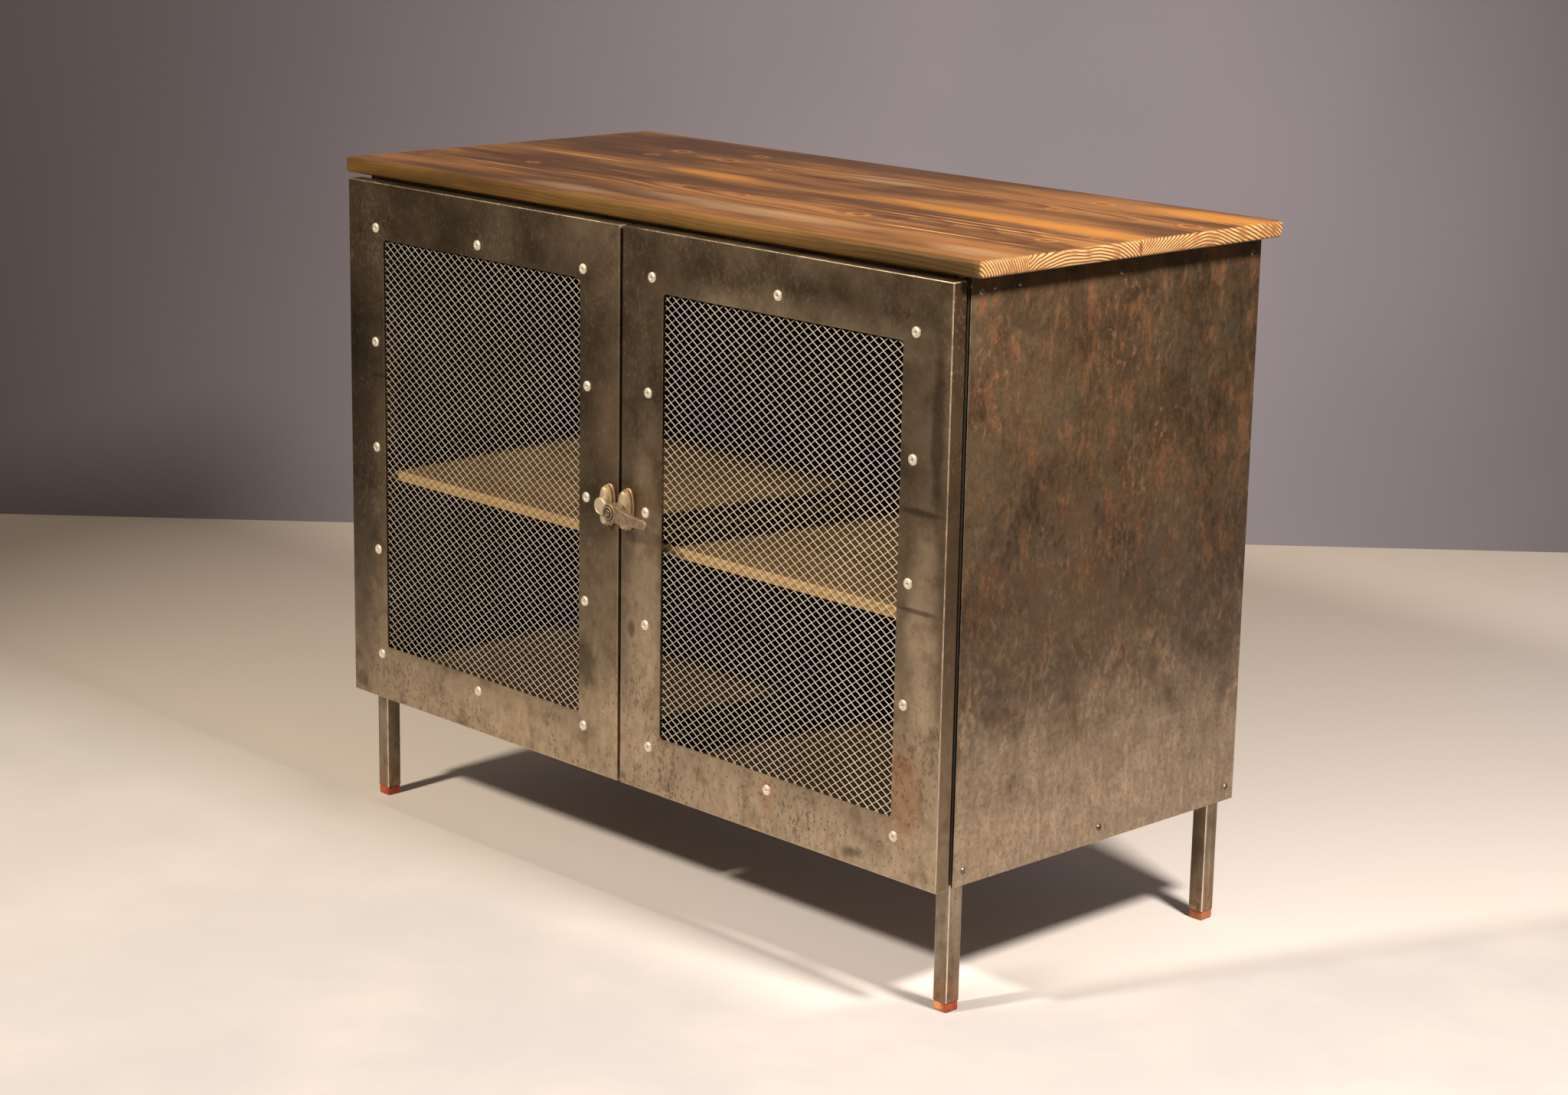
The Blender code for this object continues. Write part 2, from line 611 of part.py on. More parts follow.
def make_hinge_pin(name, sign, z, door):
    """A headed pin dropped through the bracket and the strap's eye."""
    top = STRAP_HEIGHT / 2 + RUN + BRACKET_SHEET + SEAT
    head = top + PIN_HEAD_HEIGHT
    profile = [(0, -top - PIN_TAIL), (PIN_RADIUS, -top - PIN_TAIL), (PIN_RADIUS, top)]
    profile += [(PIN_HEAD_RADIUS, top), (PIN_HEAD_RADIUS, head), (0, head)]
    bm = bmesh.new()
    turned(bm, profile, (sign * HINGE_X, HINGE_DEPTH, z), (0, 0, 1), ROUND_SEGMENTS)
    add_piece(name, bm, "hinge_steel", door, smooth=True)


# Latch. Distances here are counted forwards from the doors' front face.


def rosette(x):
    """The stepped oval plate that carries each half of the latch."""
    bm = bmesh.new()
    outline = [(x + u, -SEAT, LATCH_Z + v) for u, v in oval(ROSETTE_WIDTH, ROSETTE_HEIGHT)]
    prism(bm, outline, (0, -ROSETTE_BASE, 0))
    face = min(bm.faces, key=lambda f: f.calc_center_median().y)
    for inset, rise in ((ROSETTE_STEP_INSET, ROSETTE_STEP), (ROSETTE_FACE_INSET, ROSETTE_FACE)):
        bmesh.ops.inset_region(bm, faces=[face], thickness=inset, use_even_offset=True)
        raised = bmesh.ops.extrude_discrete_faces(bm, faces=[face])["faces"][0]
        bmesh.ops.translate(bm, verts=raised.verts[:], vec=(0, -rise, 0))
        face = raised
    round_edges(bm, face.edges[:], ROSETTE_FACE_INSET / 2, EASE_SEGMENTS)
    return bm


def make_keeper(door):
    """The left door's plate and the round stud on it."""
    x = -LATCH_FROM_MIDDLE["left"]
    add_piece("keeper_plate", rosette(x), "worn_brass", door, smooth=True)
    rim = arc((STUD_RADIUS - STUD_EDGE, STUD_RISE - STUD_EDGE), STUD_EDGE, 0, 90, BEND_SEGMENTS)
    bm = bmesh.new()
    profile = [(0, 0), (STUD_RADIUS, 0), *rim, (0, STUD_RISE)]
    turned(bm, profile, (x, -ROSETTE_FRONT - SEAT, LATCH_Z), (0, -1, 0), HUB_SEGMENTS)
    add_piece("keeper_stud", bm, "worn_brass", door, smooth=True)


def make_latch_plate(door):
    """The right door's plate with the lever's post, and the screw cap that keeps the lever on it."""
    x = LATCH_FROM_MIDDLE["right"]
    plate = add_piece("latch_plate", rosette(x), "worn_brass", door, smooth=True)
    bm = bmesh.new()
    root = ROSETTE_FRONT - ROSETTE_FACE / 2
    profile = [(0, root), (POST_RADIUS, root), (POST_RADIUS, CAP_BACK - SEAT), (0, CAP_BACK - SEAT)]
    turned(bm, profile, (x, 0, LATCH_Z), (0, -1, 0), ROUND_SEGMENTS)
    add_boolean(plate, bm, "UNION")
    bm = bmesh.new()
    rim, groove = LATCH_FRONT, LATCH_FRONT - CAP_RISE / 2
    inner = CAP_RADIUS - CAP_GROOVE
    profile = [(0, CAP_BACK), (CAP_RADIUS, CAP_BACK), (CAP_RADIUS, rim - SEAT), (CAP_RADIUS - SEAT, rim)]
    profile += [(inner, rim), (inner - SEAT, groove), (CAP_SCREW_RADIUS, groove)]
    profile += [(CAP_SCREW_RADIUS - SEAT, rim), (0, rim)]
    turned(bm, profile, (x, 0, LATCH_Z), (0, -1, 0), HUB_SEGMENTS)
    add_piece("lever_cap", bm, "worn_brass", door, smooth=True)


def make_lever(lever):
    """A turned barrel with a drooping tapered arm to the right and a short tongue to the left."""
    x = LATCH_FROM_MIDDLE["right"]
    bore, recess = POST_RADIUS + RUN, HUB_FRONT - RECESS_DEPTH
    profile = [(bore, NECK_BACK), (NECK_FOOT_RADIUS, NECK_BACK)]
    profile += [(NECK_RADIUS, NECK_BACK + NECK_ROUNDING), (HUB_RADIUS, HUB_BACK)]
    profile += [(HUB_RADIUS, HUB_FRONT - HUB_CHAMFER), (HUB_RADIUS - HUB_CHAMFER, HUB_FRONT)]
    profile += [(RECESS_RADIUS, HUB_FRONT), (RECESS_RADIUS, recess), (bore, recess)]
    bm = bmesh.new()
    turned(bm, profile, (x, 0, LATCH_Z), (0, -1, 0), HUB_SEGMENTS)
    piece = add_piece("latch_lever", bm, "cast_zinc", lever, smooth=True)
    add_boolean(piece, lever_arm(x), "UNION")
    add_boolean(piece, lever_tongue(x, (NECK_FOOT_RADIUS + bore) / 2), "UNION")


def lever_tongue(x, root):
    """A flat tongue from inside the barrel's foot towards the keeper, with its free corners rounded."""
    half = TONGUE_HEIGHT / 2
    bm = bmesh.new()
    low = (x - TONGUE_REACH, -NECK_BACK - TONGUE_THICKNESS, LATCH_Z - half)
    verts = box(bm, low, (x - root, -NECK_BACK - SEAT, LATCH_Z + half))
    corners = [e for e in edges_along(bm, verts, 1) if e.verts[0].co.x < x - root - FIT]
    round_edges(bm, corners, TONGUE_ROUNDING, BEND_SEGMENTS)
    return bm


def arm_outline():
    """The arm seen from the front: its root wraps the hub, and its top edge droops to a round tip."""
    wrap = (RECESS_RADIUS + HUB_RADIUS) / 2
    root = arc((0, 0), wrap, ARM_WRAP, -ARM_WRAP, ARC_SEGMENTS)
    half = (ARM_TIP_TOP + ARM_TIP_BOTTOM) / 2
    nose = arc((ARM_REACH - half, ARM_TIP_TOP - half), half, -90, 90, ARC_SEGMENTS)
    start, end = root[0], nose[-1]
    top = []
    for i in range(1, ARC_SEGMENTS):
        u = end[0] + (start[0] - end[0]) * i / ARC_SEGMENTS
        top.append((u, end[1] + (start[1] - end[1]) * math.exp((start[0] - u) / ARM_DROOP_LENGTH)))
    return root + nose + top


def lever_arm(x):
    """The arm's outline, swept through its thickness, thinned towards the tip and rounded on its edges."""
    back = HUB_FRONT - HUB_CHAMFER - ARM_THICKNESS
    bm = bmesh.new()
    prism(bm, [(x + u, -back, LATCH_Z + v) for u, v in arm_outline()], (0, -ARM_THICKNESS, 0))
    rear = [v for v in bm.verts if v.co.y > -back - ARM_THICKNESS / 2]
    for vert in rear:
        vert.co.y -= ARM_TIP_THINNING * (vert.co.x - x) / ARM_REACH
    through = set(edges_along(bm, bm.verts, 1))
    outside = [v for v in bm.verts if math.hypot(v.co.x - x, v.co.z - LATCH_Z) > HUB_RADIUS]
    rims = [e for e in bm.edges if e not in through and any(v in outside for v in e.verts)]
    round_edges(bm, rims, ARM_BEVEL, EASE_SEGMENTS)
    return bm


def main():
    for old in list(bpy.data.objects):
        bpy.data.objects.remove(old, do_unlink=True)
    root = add_empty("carcass_origin", (0, 0, 0))
    root.location = (0, ORIGIN_SHIFT, 0)
    make_legs(root)
    make_rails(root)
    make_side_panels(root)
    make_back_panel(root)
    make_bottom_board(root)
    make_shelf(root)
    make_top(root)
    doors = {}
    for side, sign in SIDES.items():
        doors[side] = add_empty(f"{side}_door_axis", (sign * HINGE_X, HINGE_DEPTH, DOOR_BOTTOM), root)
        make_door_pan(side, sign, doors[side])
        make_door_mesh(side, sign, doors[side])
        make_hinges(side, sign, root, doors[side])
    make_keeper(doors["left"])
    make_latch_plate(doors["right"])
    lever = add_empty("lever_axis", (LATCH_FROM_MIDDLE["right"], 0, LATCH_Z), doors["right"])
    make_lever(lever)


main()
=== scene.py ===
# %% [markdown]
# # A steel cabinet with mesh doors and a timber top
# This lesson dresses a finished construction model. The construction comes first, as a fixed frame: every
# piece here takes its place from it, and moves with the body that carries it. Lengths are in metres, +Z is
# up, and the doors face -Y.

# %% Load the construction frame
import math

import bmesh
import bpy
from mathutils import Matrix, Vector, noise


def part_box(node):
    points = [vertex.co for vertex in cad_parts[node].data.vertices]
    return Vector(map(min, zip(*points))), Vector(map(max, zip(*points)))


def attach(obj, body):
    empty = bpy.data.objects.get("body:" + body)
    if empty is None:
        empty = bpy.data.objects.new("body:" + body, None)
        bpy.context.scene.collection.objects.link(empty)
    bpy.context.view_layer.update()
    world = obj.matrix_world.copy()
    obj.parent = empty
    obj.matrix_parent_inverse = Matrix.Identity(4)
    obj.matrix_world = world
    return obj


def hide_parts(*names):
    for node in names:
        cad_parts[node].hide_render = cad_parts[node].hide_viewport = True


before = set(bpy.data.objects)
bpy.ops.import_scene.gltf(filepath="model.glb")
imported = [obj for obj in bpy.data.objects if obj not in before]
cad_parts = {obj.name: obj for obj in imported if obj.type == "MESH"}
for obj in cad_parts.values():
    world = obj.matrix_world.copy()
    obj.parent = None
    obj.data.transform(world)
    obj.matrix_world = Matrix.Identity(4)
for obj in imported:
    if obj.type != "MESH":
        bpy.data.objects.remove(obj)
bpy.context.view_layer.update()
SIDES = ("left", "right")

# %% [markdown]
# ## The camera
# The view was solved from the straight edges of the cabinet: a long lens, a little above the top, looking at
# the corner between the doors and the right side. A camera looks along its own -Z, so it is turned in three
# steps: roll about its line of sight, tilt down from the horizon, and swing round the vertical.

# %% Camera
CAMERA_PLACE = (2.6767, -2.5640, 1.2906)
CAMERA_SWING, CAMERA_TILT, CAMERA_ROLL = 45.957, 13.744, 1.059
CAMERA_LENS = 73.951

camera = bpy.data.objects.new("camera", bpy.data.cameras.new("camera"))
bpy.context.scene.collection.objects.link(camera)
camera.data.sensor_width = 36
camera.data.lens = CAMERA_LENS
swing = Matrix.Rotation(math.radians(CAMERA_SWING), 4, "Z")
tilt = Matrix.Rotation(math.radians(90 - CAMERA_TILT), 4, "X")
roll = Matrix.Rotation(math.radians(CAMERA_ROLL), 4, "Z")
camera.matrix_world = Matrix.Translation(CAMERA_PLACE) @ swing @ tilt @ roll
bpy.context.scene.camera = camera
bpy.context.scene.view_settings.view_transform = "Standard"
print("camera", CAMERA_LENS, "mm lens, at", CAMERA_PLACE)

# %% [markdown]
# ## Wiring shaders
# A material is a small network of nodes. Placing each node by hand takes many lines, so a few helpers do the
# wiring. What flows out of a node is kept as a signal, and arithmetic on signals adds the Math nodes, so that
# a mask can be written as a sum. The other helpers name what is used all the time, such as a noise, a soft
# threshold and a mix of two colours. Colours are written as they look on a screen, from 0 to 255, and turned
# into the linear values that a shader works with.

# %% Signals between shader nodes


class Signal:
    """What flows out of a shader node. Arithmetic on it adds Math nodes to its tree."""

    def __init__(self, socket):
        self.socket = socket
        self.tree = socket.id_data

    def __add__(self, other):
        return calc("ADD", self, other)

    def __radd__(self, other):
        return calc("ADD", other, self)

    def __sub__(self, other):
        return calc("SUBTRACT", self, other)

    def __rsub__(self, other):
        return calc("SUBTRACT", other, self)

    def __mul__(self, other):
        return calc("MULTIPLY", self, other)

    def __truediv__(self, other):
        return calc("DIVIDE", self, other)

    def __abs__(self):
        return calc("ABSOLUTE", self)

    def __gt__(self, other):
        return calc("GREATER_THAN", self, other)

    def __lt__(self, other):
        return calc("LESS_THAN", self, other)


print("signals ready for arithmetic")

# %% Placing nodes


def fill(socket, value):
    """Links a signal to an input, or sets a number on it. None leaves it as it is."""
    if isinstance(value, Signal):
        value.tree.links.new(value.socket, socket)
    elif value is not None:
        socket.default_value = value


def feed(inputs, **values):
    """Fills inputs by name. The names are written in lower case, with _ for a space."""
    for name, value in values.items():
        fill(inputs[name.replace("_", " ").title()], value)


def wire(tree, kind, *values, output=0, **settings):
    """Adds a shader node, fills its inputs in order, and gives one of its outputs."""
    made = tree.nodes.new("ShaderNode" + kind)
    for name, value in settings.items():
        setattr(made, name, value)
    for socket, value in zip(made.inputs, values):
        fill(socket, value)
    return Signal(made.outputs[output])


print("node helpers ready")

# %% Colours


def colour(red, green, blue):
    """A colour as it looks on a screen, as the linear RGBA that shaders take."""
    shares = [channel / 255 for channel in (red, green, blue)]
    linear = [s / 12.92 if s <= 0.04045 else ((s + 0.055) / 1.055) ** 2.4 for s in shares]
    return (*linear, 1)


print("screen grey 128 is", round(colour(128, 128, 128)[0], 3), "in linear light")

# %% Masks and patterns


def calc(operation, first, second=None):
    tree = (first if isinstance(first, Signal) else second).tree
    return wire(tree, "Math", first, second, operation=operation)


def larger(first, second):
    return calc("MAXIMUM", first, second)


def fade(value, low, high):
    """0 below low, 1 above high, and a smooth step between them."""
    return wire(value.tree, "MapRange", value, low, high, 0.0, 1.0, interpolation_type="SMOOTHSTEP")


def tint(factor, under, over):
    """Lays one colour over another, as far as a factor says. Each is a signal, or red, green and blue."""
    tree = next(value.tree for value in (factor, under, over) if isinstance(value, Signal))
    under, over = (shade if isinstance(shade, Signal) else colour(*shade) for shade in (under, over))
    skipped = [None] * 5
    return wire(tree, "Mix", factor, *skipped, under, over, output=2, data_type="RGBA")


def grain(vector, scale, detail=3.0, roughness=0.55, distortion=0.0):
    return wire(vector.tree, "TexNoise", vector, None, scale, detail, roughness, None, None, None, distortion)


def stretch(vector, x, y, z):
    """Counts a pattern faster along some axes than others, so that it is drawn out along the slow ones."""
    return wire(vector.tree, "VectorMath", vector, (x, y, z), operation="MULTIPLY")


def axes(vector):
    """The X, Y and Z of a vector."""
    made = vector.tree.nodes.new("ShaderNodeSeparateXYZ")
    fill(made.inputs[0], vector)
    return {part.name: Signal(part) for part in made.outputs}


print("mask helpers ready")

# %% Starting a material


def start_material(name, metallic=0.0, roughness=0.5):
    """A new material: its shader's inputs, and the Object coordinates that patterns follow."""
    made = bpy.data.materials.new(name)
    made.use_nodes = True
    inputs = made.node_tree.nodes["Principled BSDF"].inputs
    feed(inputs, metallic=metallic, roughness=roughness)
    return made, inputs, wire(made.node_tree, "TexCoord", output="Object")


def relief(inputs, height, depth):
    """Bumps the surface by a height from 0 to 1 that stands for a depth in metres."""
    bump = height.tree.nodes.new("ShaderNodeBump")
    feed(bump.inputs, distance=depth, height=height)
    feed(inputs, normal=Signal(bump.outputs[0]))


print("material helpers ready")

# %% [markdown]
# ## Stage and light
# The cabinet stands on a pale studio floor before a grey wall. Two lamps do most of the work: one high on the
# right, which rakes the side panel and throws the long shadow to the left, and one in front, which reaches
# the shelf through the mesh. Bare steel mostly shows what is around it, so the floor and the dark room matter
# as much as the lamps. The floor is painted a little duller where both lamps fall on it, in front of the
# cabinet and on its right. The wall is painted darker towards its left and right ends, as painted shade where
# the lamps reach it less, and it is seen through from behind, so that the back of the cabinet can be looked
# at too.

# %% Floor
FLOOR_SIZE = 14.0


def stage_plane(name, size, matrix):
    bm = bmesh.new()
    bmesh.ops.create_grid(bm, x_segments=1, y_segments=1, size=size / 2)
    bmesh.ops.transform(bm, matrix=matrix, verts=bm.verts[:])
    mesh = bpy.data.meshes.new(name)
    bm.to_mesh(mesh)
    bm.free()
    plane = bpy.data.objects.new(name, mesh)
    bpy.context.scene.collection.objects.link(plane)
    return plane


floor = stage_plane("floor", FLOOR_SIZE, Matrix.Identity(4))
finish, inputs, place = start_material("studio_floor", roughness=0.55)
spot = axes(place)
paint = tint(fade(spot["X"], -0.7, 0.5), (228, 220, 208), (238, 236, 240))
ahead = spot["Y"] - fade(spot["X"], 0.38, 0.48) * 0.2
in_front = fade(ahead, -0.15, -0.40)
beside = spot["X"] - spot["Y"] * 0.367
lit_twice = larger(in_front, fade(beside, 0.51, 0.60))
duller = tint(fade(spot["X"], -0.8, 0.4), (199, 197, 195), (183, 184, 191))
paint = tint(lit_twice, paint, duller)
scuffs = fade(grain(place, 3.0, 6.0, 0.6), 0.35, 0.75)
paint = tint(scuffs * 0.25, paint, (234, 228, 221))
feed(inputs, base_color=paint)
floor.data.materials.append(finish)
print("floor", FLOOR_SIZE, "m square")

# %% Wall
WALL_PLACE = (-1.197, 1.170)
WALL_SWING = 44.4
WALL_HEIGHT = 4.5
UPRIGHT = Matrix.Rotation(math.radians(90), 4, "X")

turn = Matrix.Rotation(math.radians(WALL_SWING), 4, "Z") @ UPRIGHT
wall = stage_plane("wall", FLOOR_SIZE, Matrix.Translation((*WALL_PLACE, WALL_HEIGHT)) @ turn)
finish, inputs, place = start_material("grey_wall", roughness=0.9)
paper = fade(grain(place, 1.2, 3.0), 0.3, 0.7)
paint = tint(paper, (138, 136, 152), (146, 143, 160))
along = axes(place)["X"]
# Painted shade: the wall darkens towards both ends, where the lamps reach it less.
paint = tint(fade(along, -0.9, -2.4), paint, (104, 100, 108))
paint = tint(fade(along, -0.9, 0.3), paint, (78, 76, 86))
feed(inputs, base_color=paint)
tree = finish.node_tree
painted = Signal(tree.nodes["Principled BSDF"].outputs[0])
behind = wire(tree, "NewGeometry", output="Backfacing")
one_way = wire(tree, "MixShader", behind, painted, wire(tree, "BsdfTransparent"))
feed(tree.nodes["Material Output"].inputs, surface=one_way)
wall.data.materials.append(finish)
print("wall behind the cabinet, at", WALL_PLACE)

# %% Lamps and room light
ROOM_COLOUR = colour(114, 99, 84)
# Each lamp has a name, a place, a target, a cone in degrees, the softness of its rim, a radius and its watts.
LAMPS = (
    ("key_lamp", (1.67, -0.14, 1.87), (0.25, -0.15, 0.15), 140, 0.6, 0.16, 275.0),
    ("front_lamp", (-0.35, -2.73, 2.60), (-0.15, -0.25, 0.25), 62, 1.0, 0.16, 520.0),
)
LAMP_TONE = (1.0, 0.87, 0.72)

for name, spot, target, cone, blend, size, power in LAMPS:
    lamp = bpy.data.lights.new(name, "SPOT")
    lamp.spot_size = math.radians(cone)
    lamp.spot_blend = blend
    lamp.shadow_soft_size = size
    lamp.energy = power
    lamp.color = LAMP_TONE
    holder = bpy.data.objects.new(name, lamp)
    bpy.context.scene.collection.objects.link(holder)
    holder.location = spot
    holder.rotation_euler = (Vector(target) - Vector(spot)).to_track_quat("-Z", "Y").to_euler()

bpy.context.scene.world = bpy.data.worlds.new("room")
bpy.context.scene.world.use_nodes = True
room = bpy.context.scene.world.node_tree.nodes["Background"]
room.inputs["Color"].default_value = ROOM_COLOUR
print(len(LAMPS), "lamps")

# %% [markdown]
# ## Shared surface effects
# The steel of this cabinet was left bare and has aged: clouds of brown film, rust spots in clusters, brushed
# lines, and bright metal where edges are rubbed. The same effects show on several pieces, so each is built
# once as a node group with named sockets, and each material gives it its own values. The groups put out only
# masks: the shader itself stays in the material.

# %% Making and placing node groups


def start_effect(name, inputs, outputs):
    """A new node group. Inputs are given with their defaults: three numbers make a vector, one a value."""
    tree = bpy.data.node_groups.new(name, "ShaderNodeTree")
    for title, value in inputs.items():
        kind = "NodeSocketVector" if isinstance(value, tuple) else "NodeSocketFloat"
        tree.interface.new_socket(name=title, in_out="INPUT", socket_type=kind).default_value = value
    for title in outputs:
        tree.interface.new_socket(name=title, in_out="OUTPUT", socket_type="NodeSocketFloat")
    given = {socket.name: Signal(socket) for socket in tree.nodes.new("NodeGroupInput").outputs}
    return tree, given, tree.nodes.new("NodeGroupOutput").inputs


def use_effect(group, vector, **values):
    """Places a group in the tree of its vector, and gives what it puts out."""
    made = vector.tree.nodes.new("ShaderNodeGroup")
    made.node_tree = group
    feed(made.inputs, vector=vector, **values)
    return {socket.name: Signal(socket) for socket in made.outputs}


print("group helpers ready")

# %% Node groups: stain, weather and wear
ORIGIN = (0.0, 0.0, 0.0)

# A soft patch round a centre, with a ragged edge.
STAIN, given, out = start_effect(
    "stain",
    {"Vector": ORIGIN, "Centre": ORIGIN, "Reach": (0.1, 0.1, 0.1), "Ragged": 0.8, "Scale": 40.0},
    ["Mask"],
)
offset = wire(STAIN, "VectorMath", given["Vector"], given["Centre"], operation="SUBTRACT")
share = wire(STAIN, "VectorMath", offset, given["Reach"], operation="DIVIDE")
distance = wire(STAIN, "VectorMath", share, output="Value", operation="LENGTH")
ragged = (grain(given["Vector"], given["Scale"]) - 0.5) * given["Ragged"]
feed(out, mask=fade(distance + ragged, 1.0, 0.3))

# Clouds of film, clustered spots, and fine grit.
WEATHER, given, out = start_effect(
    "weather",
    {"Vector": ORIGIN, "Cloud Scale": 7.0, "Spot Scale": 200.0, "Spot Cover": 0.3},
    ["Cloud", "Spots", "Grit"],
)
cloud = grain(given["Vector"], given["Cloud Scale"], 6.0, 0.62)
feed(out, cloud=fade(cloud, 0.32, 0.68))
runs = stretch(given["Vector"], 1.0, 1.0, 0.6)
cluster = grain(given["Vector"], 11.0, 3.0)
spots = grain(runs, given["Spot Scale"], 2.0, 0.5) + cluster * 0.5
limit = 1.05 - given["Spot Cover"]
feed(out, spots=fade(spots - limit, 0.0, 0.13))
feed(out, grit=grain(given["Vector"], 900.0, 2.0))

# Rubbed edges: the modelled roundings carry an attribute, and noise breaks it up.
WEAR, given, out = start_effect("edge wear", {"Vector": ORIGIN, "Edge": 0.0, "Amount": 0.5}, ["Mask"])
broken = grain(given["Vector"], 60.0, 4.0) - 0.5
level = given["Edge"] + broken * 1.4
rubbed = fade(level, 1.0 - given["Amount"], 1.25)
feed(out, mask=rubbed * given["Edge"])
print("node groups:", [group.name for group in (STAIN, WEATHER, WEAR)])

# %% [markdown]
# ## Steel of the doors
# The doors are folded from bare sheet. Towards the top the steel is dark and brown, and towards the bottom it
# is paler, partly rubbed and partly a painted reflection of the bright floor, and spotted with rust. A few
# marks belong to one place, such as the smear down the edge of the right door and the stain round its lowest
# rivet, so each of those is one stain at its own spot. The left edge of the left door is painted darker, as a
# painted reflection of the shaded floor, and the rubbed edges are kept faint by the gap between the doors, as
# painted shade.

# %% Marks on the doors
door_low, door_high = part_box("door_pan_right")
# Each mark is its centre, its reach along x, y and z, and how ragged its edge is.
DOOR_STAINS_AND_REFLECTION = (
    ((0.489, 0.0, 0.640), (0.013, 0.05, 0.120), 1.0),
    ((0.470, 0.0, 0.545), (0.045, 0.05, 0.006), 0.6),
    ((0.465, 0.0, 0.440), (0.040, 0.05, 0.004), 0.9),
    ((0.022, 0.0, 0.330), (0.009, 0.05, 0.014), 0.7),
    ((-0.455, 0.0, 0.552), (0.030, 0.05, 0.003), 0.5),
    ((0.380, 0.0, 0.158), (0.022, 0.05, 0.009), 1.4),
    ((-0.060, 0.0, 0.270), (0.026, 0.05, 0.050), 1.3),
    ((-0.490, 0.0, 0.160), (0.020, 0.05, 0.020), 1.2),
    # Painted shade: the left edge of the left door is darkened as a painted reflection of the shaded floor.
    ((-0.490, 0.0, 0.440), (0.055, 0.05, 0.420), 0.5),
)
RUBBED_PLACES = (
    ((0.270, 0.0, 0.712), (0.260, 0.05, 0.045), 0.8),
    ((0.475, 0.0, 0.420), (0.030, 0.05, 0.160), 0.8),
    ((0.045, 0.0, 0.400), (0.036, 0.05, 0.240), 1.0),
)
RUST_STAINS = (
    ((0.248, 0.0, 0.190), (0.016, 0.05, 0.030), 1.0),
    ((0.360, 0.0, 0.700), (0.110, 0.05, 0.012), 0.9),
    ((0.455, 0.0, 0.240), (0.035, 0.05, 0.075), 1.2),
)
print(len(DOOR_STAINS_AND_REFLECTION), "dark marks,", len(RUBBED_PLACES), "rubbed places,", len(RUST_STAINS), "rust stains")

# %% Door steel


def stains(place, marks, scale=40.0):
    """The strongest of several soft patches at each point: mostly stains, and a few of painted shade and
    painted sheen.
    """
    found = 0.0
    for centre, reach, ragged in marks:
        mask = use_effect(STAIN, vector=place, centre=centre, reach=reach, ragged=ragged, scale=scale)["Mask"]
        found = larger(mask, found)
    return found


def rubbed_edge(place, amount):
    edge = wire(place.tree, "Attribute", output="Fac", attribute_name="edge")
    return use_effect(WEAR, vector=place, edge=edge, amount=amount)["Mask"]


def door_steel():
    finish, inputs, place = start_material("door_steel")
    weather = use_effect(WEATHER, vector=place, cloud_scale=8.0, spot_scale=300.0, spot_cover=0.23)
    spot = axes(place)
    # The marks lie on the face of the door, so their patterns leave depth out.
    flat = stretch(place, 1.0, 0.0, 1.0)
    # Paler towards the bottom: partly rubbed steel and partly a painted reflection of the bright floor.
    low = fade(spot["Z"], 0.52, door_low.z + 0.01)
    paleness = weather["Cloud"] * 0.26 + low * 0.70 + 0.05 + stains(flat, RUBBED_PLACES, 20.0) * 0.46
    base = tint(paleness, (70, 60, 46), (192, 172, 146))
    film = fade(grain(place, 30.0, 6.0, 0.66), 0.46, 0.70)
    base = tint(film * 0.5, base, (92, 67, 43))
    mottle = fade(grain(stretch(place, 1.0, 1.0, 0.5), 120.0, 4.0, 0.6), 0.35, 0.7)
    base = tint(mottle * 0.22, base, (60, 48, 34))
    glints = fade(grain(place, 260.0, 4.0, 0.68), 0.54, 0.70)
    base = tint(glints * 0.16, base, (190, 170, 140))
    dark = stains(flat, DOOR_STAINS_AND_REFLECTION) * 0.6
    base = tint(dark, base, (40, 33, 25))
    rust = stains(flat, RUST_STAINS, 90.0) * 0.5
    base = tint(rust, base, (140, 88, 48))
    more = weather["Spots"] * (low * 0.6 + 0.4)
    base = tint(more * 0.7, base, (66, 45, 28))
    flange = fade(spot["X"], door_high.x - 0.0012, door_high.x - 0.0004)
    base = tint(flange * 0.6, base, (88, 66, 46))
    # Painted shade: by the gap between the doors the bends stand in the dark, so their rubbed edges are kept
    # faint.
    open_edge = fade(abs(spot["X"]), 0.02, 0.05)
    wear_outside_gap_shade = 0.25 + open_edge * 0.75
    worn = rubbed_edge(place, 0.7) * wear_outside_gap_shade
    base = tint(worn, base, (206, 188, 164))
    dull = larger(rust * 0.9, more)
    metallic = 0.92 - dull * 0.6
    rough = 0.40 + weather["Cloud"] * 0.08 + dull * 0.2 + mottle * 0.06
    feed(inputs, base_color=base, metallic=metallic, roughness=rough)
    swell = grain(place, 5.0, 2.0) * 8.0
    pits = weather["Grit"] * 0.25 - more * 0.4
    relief(inputs, swell + pits, 0.0003)
    return finish


DOOR_STEEL = door_steel()
print("door steel:", len(DOOR_STEEL.node_tree.nodes), "nodes")

# %% [markdown]
# ## Steel of the side and back panels
# The right side is the most weathered face: orange rust in flecks over its upper middle, a belt of dark spots
# at half height, blue-grey mill scale between them, and paler steel with drip marks towards the floor. Each
# of those is a noise with its own size and stretch, kept to its own height by a soft band.

